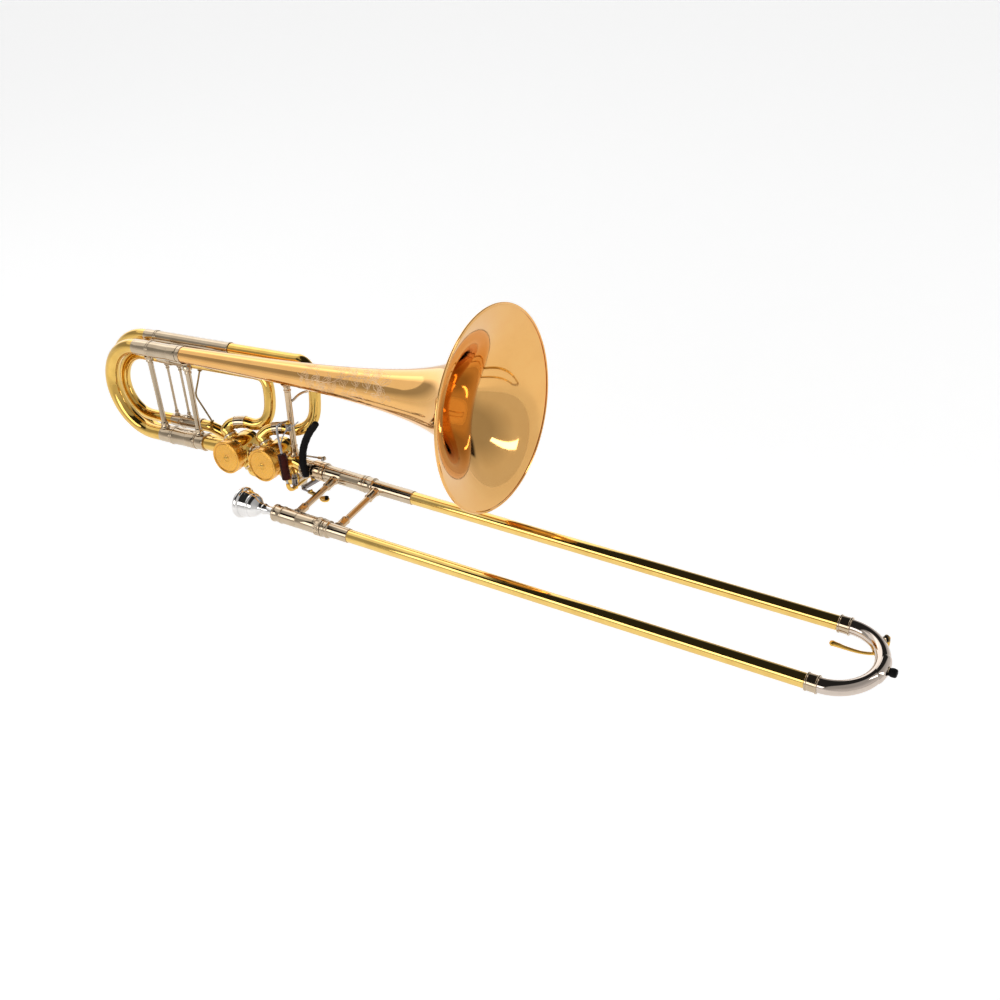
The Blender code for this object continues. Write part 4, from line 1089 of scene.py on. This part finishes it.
# ---------------------------------------------------------------- hand rest
def build_hand_rest():
    spine = spline([(66, -15.5, -7), (64, -16, 10), (67, -15, 30), (76, -13.5, 49), (88, -12, 64)], 22)
    count = len(spine)

    def quilt(i, angle):
        seam = -0.5 if abs(angle % (2 * pi) - pi) < 0.1 else 0.0
        return seam + 0.16 * sin(0.55 * i + 1.5 * sin(angle)) + 0.1 * sin(1.3 * i + angle * 3)

    radii = [4.75 - 0.45 * abs(2 * i / (count - 1) - 1) ** 4 for i in range(count)]
    obj = swept("hand_rest_pad_skin", spine, radii, BLACK_LEATHER, segments=64, lumps=quilt, rounded=True)
    across = rails(spine)
    for k in range(5, count - 4, 4):
        over, beside = across[k]
        route = [spine[k - 1] - over * 4.5 + beside * 0.55, spine[k] - over * 4.8 + beside * 0.6,
            spine[min(k + 1, count - 1)] - over * 4.5 + beside * 0.55]
        swept(f"hand_rest_stitch_{k}", route, 0.2, THREAD, "hand_rest_pad", segments=8, rounded=True)
    post = [(66, -15.5, -6), (65, -13.5, -11), (62, -9.5, -11.5), (58, -6, -9), (55, -3, -7.5)]
    swept("hand_rest_post", spline(post), 1.7, NICKEL, "hand_rest_pad", segments=24)
    turned("hand_rest_socket", [(3.2, 6), (3.5, 0), (3.2, -2.5), (1.4, -2.5), (1.4, 6)], (66, -15.6, -9.2),
        (0, 0.05, 1), NICKEL, "hand_rest_pad", steps=36, soft=0.5)
    screw("hand_rest_screw", (64.5, -18.4, -8.6), -Y, 1.8, 1.4, STEEL, "hand_rest_pad")


# ---------------------------------------------------------------- hand slide
def build_inner_slide():
    for label, side in (("right", -SIDE), ("left", SIDE)):
        name = f"inner_tube_{label}"
        outline = [(INNER_TUBE_RADIUS, 0), (INNER_TUBE_RADIUS, 540), (INNER_TUBE_RADIUS + 0.12, 541),
            (INNER_TUBE_RADIUS + 0.12, 646), (INNER_TUBE_RADIUS - 0.55, 646), (INNER_TUBE_RADIUS - 0.55, 0)]
        turned(name + "_skin", outline, (9, side, 0), X, CHROME, place=ROW)
    bore = INNER_TUBE_RADIUS + 0.35
    length = LOCK_RING_X - GAP - RECEIVER_X
    right = [(10.1, length), (10.1, length - 2.0), (BARREL_RADIUS, length - 2.4), (BARREL_RADIUS, 38),
        (10.05, 37.7), (10.05, 36.9), (BARREL_RADIUS, 36.6), (BARREL_RADIUS, 14.4), (RING_RADIUS, 14.0),
        (RING_RADIUS, 12.4), (BARREL_RADIUS, 12.0), (BARREL_RADIUS, 3.4), (RING_RADIUS, 3.0),
        (RING_RADIUS, 0.8), (10.4, 0), (bore, 0), (bore, length)]
    turned("cork_barrel_right_skin", right, (RECEIVER_X, -SIDE, 0), X, NICKEL, place=ROW, soft=0.35)
    length = LEFT_BARREL_END - LEFT_BARREL_X
    left = [(10.1, length), (10.1, length - 1.4), (BARREL_RADIUS + 0.3, length - 1.8),
        (BARREL_RADIUS + 0.3, length - 6), (BARREL_RADIUS, length - 6.4), (BARREL_RADIUS, 37.8),
        (10.0, 37.5), (10.0, 36.8), (BARREL_RADIUS, 36.5), (BARREL_RADIUS, 14.0), (RING_RADIUS, 13.6),
        (RING_RADIUS, 11.4), (9.5, 11.0), (9.5, 0), (bore, 0), (bore, length)]
    turned("cork_barrel_left_skin", left, (LEFT_BARREL_X, SIDE, 0), X, NICKEL, place=ROW, soft=0.35)
    cross_brace("grip_brace", 0.0, BARREL_RADIUS)
    ripple = knurl(56, 0.3, 2.0, 7.6)
    ring = [(RING_RADIUS, 9.6), (11.5, 8.8), (11.5, 7.8), (11.3, 7.4), (11.3, 2.2), (11.5, 1.8),
        (11.5, 1.0), (RING_RADIUS, 0), (bore, 0), (bore, 9.6)]
    turned("slide_lock_ring_skin", ring, (LOCK_RING_X, -SIDE, 0), X, NICKEL, place=ROW, steps=224, soft=0.2,
        ripple=ripple)
    nut = [(11.6, 19), (12.4, 18.2), (12.4, 14.4), (11.9, 14.0), (11.9, 13.0), (12.4, 12.6), (12.4, 1.0),
        (11.6, 0), (10.5, 0), (10.5, 19)]
    turned("bell_lock_nut_skin", nut, (-37, SIDE, 0), X, NICKEL_WARM, place=ROW, steps=240,
        ripple=knurl(60, 0.35, 1.6, 12.2))


def cross_brace(name, x, tube_radius):
    """A brace across the slide: a thin tube in two long sockets with ringed ends."""
    end = SIDE - tube_radius + 0.6
    half = [(0, 0), (6.6, 0), (6.5, 1.0), (5.7, 2.4), (5.4, 4.2), (5.4, 13.8), (5.7, 14.2), (5.7, 15.6),
        (5.2, 16.2), (4.3, 17.2), (4.1, 19.0)]
    turned(name + "_skin", ringed(half, 2 * end), (x, -end, 0), Y, NICKEL_WARM, place=ROW, steps=56,
        soft=0.4)


def build_mouthpiece():
    outside = [(5.95, 84), (6.1, 72), (6.6, 57), (6.5, 53), (5.6, 49), (5.3, 45), (5.7, 41.5), (7.0, 38.5),
        (7.2, 37.6), (6.3, 37.0), (6.1, 35.5), (7.6, 31.5), (10.6, 28.0), (13.0, 25.4), (13.9, 23.0),
        (14.2, 20.6), (15.3, 19.4), (15.5, 18.4), (15.2, 17.4), (15.9, 14.6), (16.6, 10.6), (17.1, 7.8),
        (19.3, 6.2), (19.85, 4.6), (19.9, 3.2), (19.5, 1.5), (18.4, 0.35), (17.0, 0.0), (15.6, 0.4),
        (14.3, 1.6)]
    inside = [(13.6, 5), (13.2, 9), (12.2, 14), (10.4, 18.6), (7.4, 23), (4.4, 26.4), (3.75, 30), (3.8, 34),
        (4.3, 58), (5.3, 84)]
    turned("mouthpiece_skin", outside + inside, (-82, -SIDE, 0), X, SILVER, place=ROW, steps=120, soft=0.45)


def build_outer_slide():
    for label, side, start, end in (("right", -SIDE, LOCK_RING_X + 9.6 + GAP, RIGHT_SLEEVE_END),
            ("left", SIDE, LEFT_BARREL_END + GAP, LEFT_SLEEVE_END)):
        name = f"outer_tube_{label}"
        tube(name + "_skin", (end - 3, side, 0), FERRULE_X + 1.5 - end, OUTER_TUBE_RADIUS, 7.8, BRASS_TUBE,
            place=ROW)
        length = end - start
        collar = RING_END - start
        sleeve = [(SLEEVE_RADIUS - 0.3, length), (SLEEVE_RADIUS, length - 0.5),
            (SLEEVE_RADIUS, collar + 0.8), (RING_RADIUS - 0.4, collar), (RING_RADIUS, collar - 0.6),
            (RING_RADIUS, collar - 2.4), (RING_RADIUS - 0.6, collar - 2.8), (RING_RADIUS - 0.6, 2.8),
            (RING_RADIUS, 2.4), (RING_RADIUS, 0.7), (RING_RADIUS - 0.6, 0), (7.82, 0), (7.82, length)]
        turned(f"{name}_sleeve", sleeve, (start, side, 0), X, NICKEL, name, ROW, soft=0.35)
    cross_brace("outer_slide_brace", OUTER_BRACE_X, SLEEVE_RADIUS)
    bend = half_turn((BOW_X, -SIDE, 0), (BOW_X, SIDE, 0), X, 64)
    right = [Vector((x, -SIDE, 0)) for x in (FERRULE_X, BOW_X - 4)]
    left = [Vector((x, SIDE, 0)) for x in (BOW_X - 4, FERRULE_X)]
    swept("slide_bow_skin", right + bend + left, OUTER_TUBE_RADIUS, BOW_NICKEL, place=ROW, segments=48,
        wall=TUBE_WALL)
    for label, side in (("right", -SIDE), ("left", SIDE)):
        ferrule(f"slide_bow_{label}_ferrule", FERRULE_X - 1.0, BOW_X - FERRULE_X + 1.5, FERRULE_RADIUS,
            side, 0, "slide_bow", BOTH_ENDS, place=ROW)
    guard = [radians(-22 + 44 * i / 24) for i in range(25)]
    route = [Vector((BOW_X + (SIDE + 1.0) * cos(a), (SIDE + 1.0) * sin(a), 0)) for a in guard]
    swept("bow_guard", route, [8.4 - 2.2 * abs(2 * i / 24 - 1) ** 6 for i in range(25)], BOW_NICKEL,
        "slide_bow", ROW, segments=48)
    socket = [(4.7, 0.6), (5.4, 0.0), (5.4, -1.6), (3.0, -1.6), (3.0, 0.6)]
    turned("bumper_socket", socket, (BUMPER_X, 0, 0), X, NICKEL, "slide_bow", ROW, steps=48, soft=0.3)
    tip = [(0, 8.5), (3.3, 8.5), (4.2, 8.0), (4.75, 6.6), (4.9, 4.2), (4.6, 2.2), (4.1, 1.4), (4.1, 0.2),
        (0, 0.2)]
    turned("end_bumper_skin", tip, (BUMPER_X, 0, 0), X, RUBBER, place=ROW, steps=56, soft=0.4)


def build_water_key():
    """A lever under the bow, whose cork pad shuts a nipple on the bow's outer side."""
    out = Vector((cos(WATER_KEY_ANGLE), sin(WATER_KEY_ANGLE), 0))
    side = Vector((-sin(WATER_KEY_ANGLE), cos(WATER_KEY_ANGLE), 0))
    under = Vector((BOW_X, 0, 0)) + out * SIDE - Z * OUTER_TUBE_RADIUS
    saddle = [(0, 4.2), (2.2, 4.2), (2.6, 2.8), (3.4, 1.6), (5.2, 0.4), (5.4, -1.2), (0, -1.2)]
    turned("water_key_saddle_skin", saddle, under, -Z, NICKEL, place=ROW, steps=48, soft=0.4)
    pivot = under - Z * 7.9
    for number, reach in enumerate((-3.4, 3.4)):
        post = [under + side * reach * 0.8 - Z * 1.5, under + side * reach - Z * 4.5, pivot + side * reach]
        swept(f"water_key_ear_{number}", spline(post), 1.35, NICKEL, "water_key_saddle", ROW, segments=24,
            rounded=True)
    pin = [pivot - side * 4.6, pivot + side * 4.6]
    swept("water_key_pin", pin, 0.95, STEEL, "water_key_saddle", ROW, segments=20, rounded=True)
    coil = []
    for i in range(97):
        turn = 2 * pi * i / 16
        coil.append(pivot + side * (-2.4 + 4.8 * i / 96) + (out * cos(turn) + Z * sin(turn)) * 2.1)
    swept("water_key_spring", coil, 0.32, STEEL, "water_key_saddle", ROW, segments=10)
    touch = [(-43, -7, 2.8), (-36, -6.6, 2.0), (-30, -6.2, 1), (-16, -4.6, -0.6), (-7, -2.6, -0.8),
        (0, 0, -0.4)]
    arm = [(7, -1.6), (12, 1.0), (14.6, 6.5), (15.0, 15.6)]
    route = [Vector(p) for p in touch] + [out * along + Z * height for along, height in arm]
    route = spline([pivot + p for p in route], 8)
    radii = [2.9 - 1.2 * min(i / 26, 1.0) for i in range(len(route))]
    swept("water_key_lever", route, radii, GOLD, "water_key", ROW, segments=28, rounded=True)
    turned("water_key_barrel", [(2.5, 2.2), (2.5, -2.2), (1.1, -2.2), (1.1, 2.2)], pivot, side, GOLD,
        "water_key", ROW, steps=36, soft=0.5)
    end = Vector(touch[0])
    touch_plate = [(0, 2.4), (2.4, 2.1), (3.4, 1.2), (3.6, 0.0), (3.2, -1.4), (0, -2.2)]
    turned("water_key_touch", touch_plate, pivot + end, (0.1, 0, 1), GOLD, "water_key", ROW, steps=56,
        soft=0.5)
    nipple = Vector((BOW_X, 0, 0)) + out * (SIDE + OUTER_TUBE_RADIUS - 0.8) - Z * 0.6
    spout = [(4.2, 0.0), (3.6, 0.8), (3.3, 3.0), (2.1, 3.0), (2.1, 0.0)]
    turned("water_key_nipple", spout, nipple, out, NICKEL, "slide_bow", ROW, steps=48, soft=0.3)
    pad = [(0, 3.2), (3.5, 3.2), (3.7, 3.6), (3.7, 5.6), (0, 5.6)]
    turned("water_key_pad", pad, nipple, out, RUBBER, "water_key", ROW, steps=48)
    cup = [(3.9, 4.8), (4.2, 5.0), (4.2, 6.4), (3.4, 7.2), (0, 7.4), (0, 5.7), (3.9, 5.7)]
    turned("water_key_cup", cup, nipple, out, DARK_BRASS, "water_key", ROW, steps=48, closed=False,
        soft=0.2)


# ---------------------------------------------------------------- studio
FLOOR_REACH = 14.0
FLOOR_HEIGHT = -0.42
FLOOR_GLOW = 0.52
WHITE = (1.0, 1.0, 1.0, 1.0)
BACKDROP = (0.95, 0.95, 0.95, 1.0)
WALL_GREYS = [(0.0, 0.95), (0.5, 0.85), (0.62, 0.42), (1.0, 0.44)]
WALL_SLANT = -0.16
WINDOW_LIGHT = 1.6
AHEAD_LIGHT = 0.72
STRIP_LIGHT = 0.025
LAMPS = (("key_softbox", (-0.5, -2.3, 1.15), 2.4, 1.0, 20),
    ("top_softbox", (-1.6, 0.1, 1.7), 2.0, 1.6, 6),
    ("strip", (2.4, 0.9, 1.3), 0.3, 1.8, 8))
LAMP_TARGET = Vector((0.15, 0.05, 0.05))
CAMERA_RIGHT = Vector((0.8528031, 0.5131068, -0.0972022))
CAMERA_DOWN = Vector((0.2426373, -0.5541205, -0.7962899))
CAMERA_AHEAD = Vector((-0.4624435, 0.6554936, -0.5970546))
CAMERA_PLACE = (0.98454, -1.00319, 0.99286)


def build_floor():
    mesh = bpy.data.meshes.new("floor")
    corners = [(-FLOOR_REACH, -FLOOR_REACH), (FLOOR_REACH, -FLOOR_REACH), (FLOOR_REACH, FLOOR_REACH),
        (-FLOOR_REACH, FLOOR_REACH)]
    mesh.from_pydata([(x, y, FLOOR_HEIGHT) for x, y in corners], [], [(0, 1, 2, 3)])
    floor = add("floor", mesh)
    paper = matt("pale_floor", (0.86, 0.86, 0.86), (0.84, 0.84, 0.84), 0.9, 30)
    glow = paper.node_tree.nodes["Principled BSDF"]
    glow.inputs["Emission Color"].default_value = WHITE
    glow.inputs["Emission Strength"].default_value = FLOOR_GLOW
    mesh.materials.append(paper)


def build_world():
    """Grey walls for the metal to reflect, with a bright window, a lighter end and a dark strip."""
    world = bpy.data.worlds.new("studio")
    world.use_nodes = True
    bpy.context.scene.world = world
    tree = world.node_tree
    split = node(tree, "ShaderNodeSeparateXYZ")
    tree.links.new(node(tree, "ShaderNodeTexCoord").outputs["Generated"], split.inputs["Vector"])
    x, y, z = split.outputs
    slant = node(tree, "ShaderNodeMath", operation="MULTIPLY_ADD")
    slant.inputs[1].default_value = WALL_SLANT
    tree.links.new(y, slant.inputs[0])
    tree.links.new(x, slant.inputs[2])
    along = span(tree, x, 0.0, 1.0, -1.0, 1.0)
    aside = span(tree, slant.outputs["Value"], 0.0, 1.0, -1.0, 1.0)
    room = ramp(tree, span(tree, z, 0.0, 1.0, -1.0, 1.0), WALL_GREYS)
    window = ramp(tree, aside, [(0.24, 1.0), (0.262, 0.0)])
    ahead = ramp(tree, along, [(0.54, 0.0), (0.72, 1.0)])
    strip = ramp(tree, aside, [(0.245, 0.0), (0.262, 1.0), (0.57, 1.0), (0.6, 0.0)])
    beyond = span(tree, y, 0.0, 1.0, 0.1, 0.3)
    low = span(tree, z, 1.0, 0.0, 0.25, 0.75)
    raised = span(tree, z, 0.0, 1.0, 0.34, 0.42)
    for area, limit, light in ((window, beyond, WINDOW_LIGHT), (ahead, low, AHEAD_LIGHT),
            (strip, raised, STRIP_LIGHT)):
        part = node(tree, "ShaderNodeMath", operation="MULTIPLY")
        tree.links.new(area, part.inputs[0])
        tree.links.new(limit, part.inputs[1])
        room = mixed(tree, part.outputs["Value"], room, (light, light, light, 1.0))
    seen = node(tree, "ShaderNodeLightPath").outputs["Is Camera Ray"]
    tree.links.new(mixed(tree, seen, room, BACKDROP), tree.nodes["Background"].inputs["Color"])


def build_lamps():
    for name, place, width, height, watts in LAMPS:
        data = bpy.data.lights.new(name, "AREA")
        data.shape = "RECTANGLE"
        data.size = width
        data.size_y = height
        data.energy = watts
        lamp = add(name, data)
        lamp.location = place
        lamp.rotation_euler = (LAMP_TARGET - Vector(place)).to_track_quat("-Z", "Y").to_euler()


def build_camera():
    """The camera at the photograph's angle."""
    turn = Matrix((CAMERA_RIGHT, -CAMERA_DOWN, -CAMERA_AHEAD)).transposed().to_4x4()
    data = bpy.data.cameras.new("camera")
    data.sensor_width = 36.0
    data.lens = 49.435
    data.clip_start = 0.05
    camera = add("camera", data)
    camera.matrix_world = Matrix.Translation(CAMERA_PLACE) @ turn
    bpy.context.scene.camera = camera
    bpy.context.scene.view_settings.view_transform = "Standard"


build_bell()
build_engraving()
build_main_tuning_slide()
build_main_line()
for valve_number, valve_x in enumerate(VALVE_X, 1):
    build_valve(valve_number, valve_x)
build_loops()
build_braces()
build_f_lever()
build_g_lever()
build_springs()
build_links()
build_hand_rest()
build_inner_slide()
build_mouthpiece()
build_outer_slide()
build_water_key()
build_floor()
build_world()
build_lamps()
build_camera()
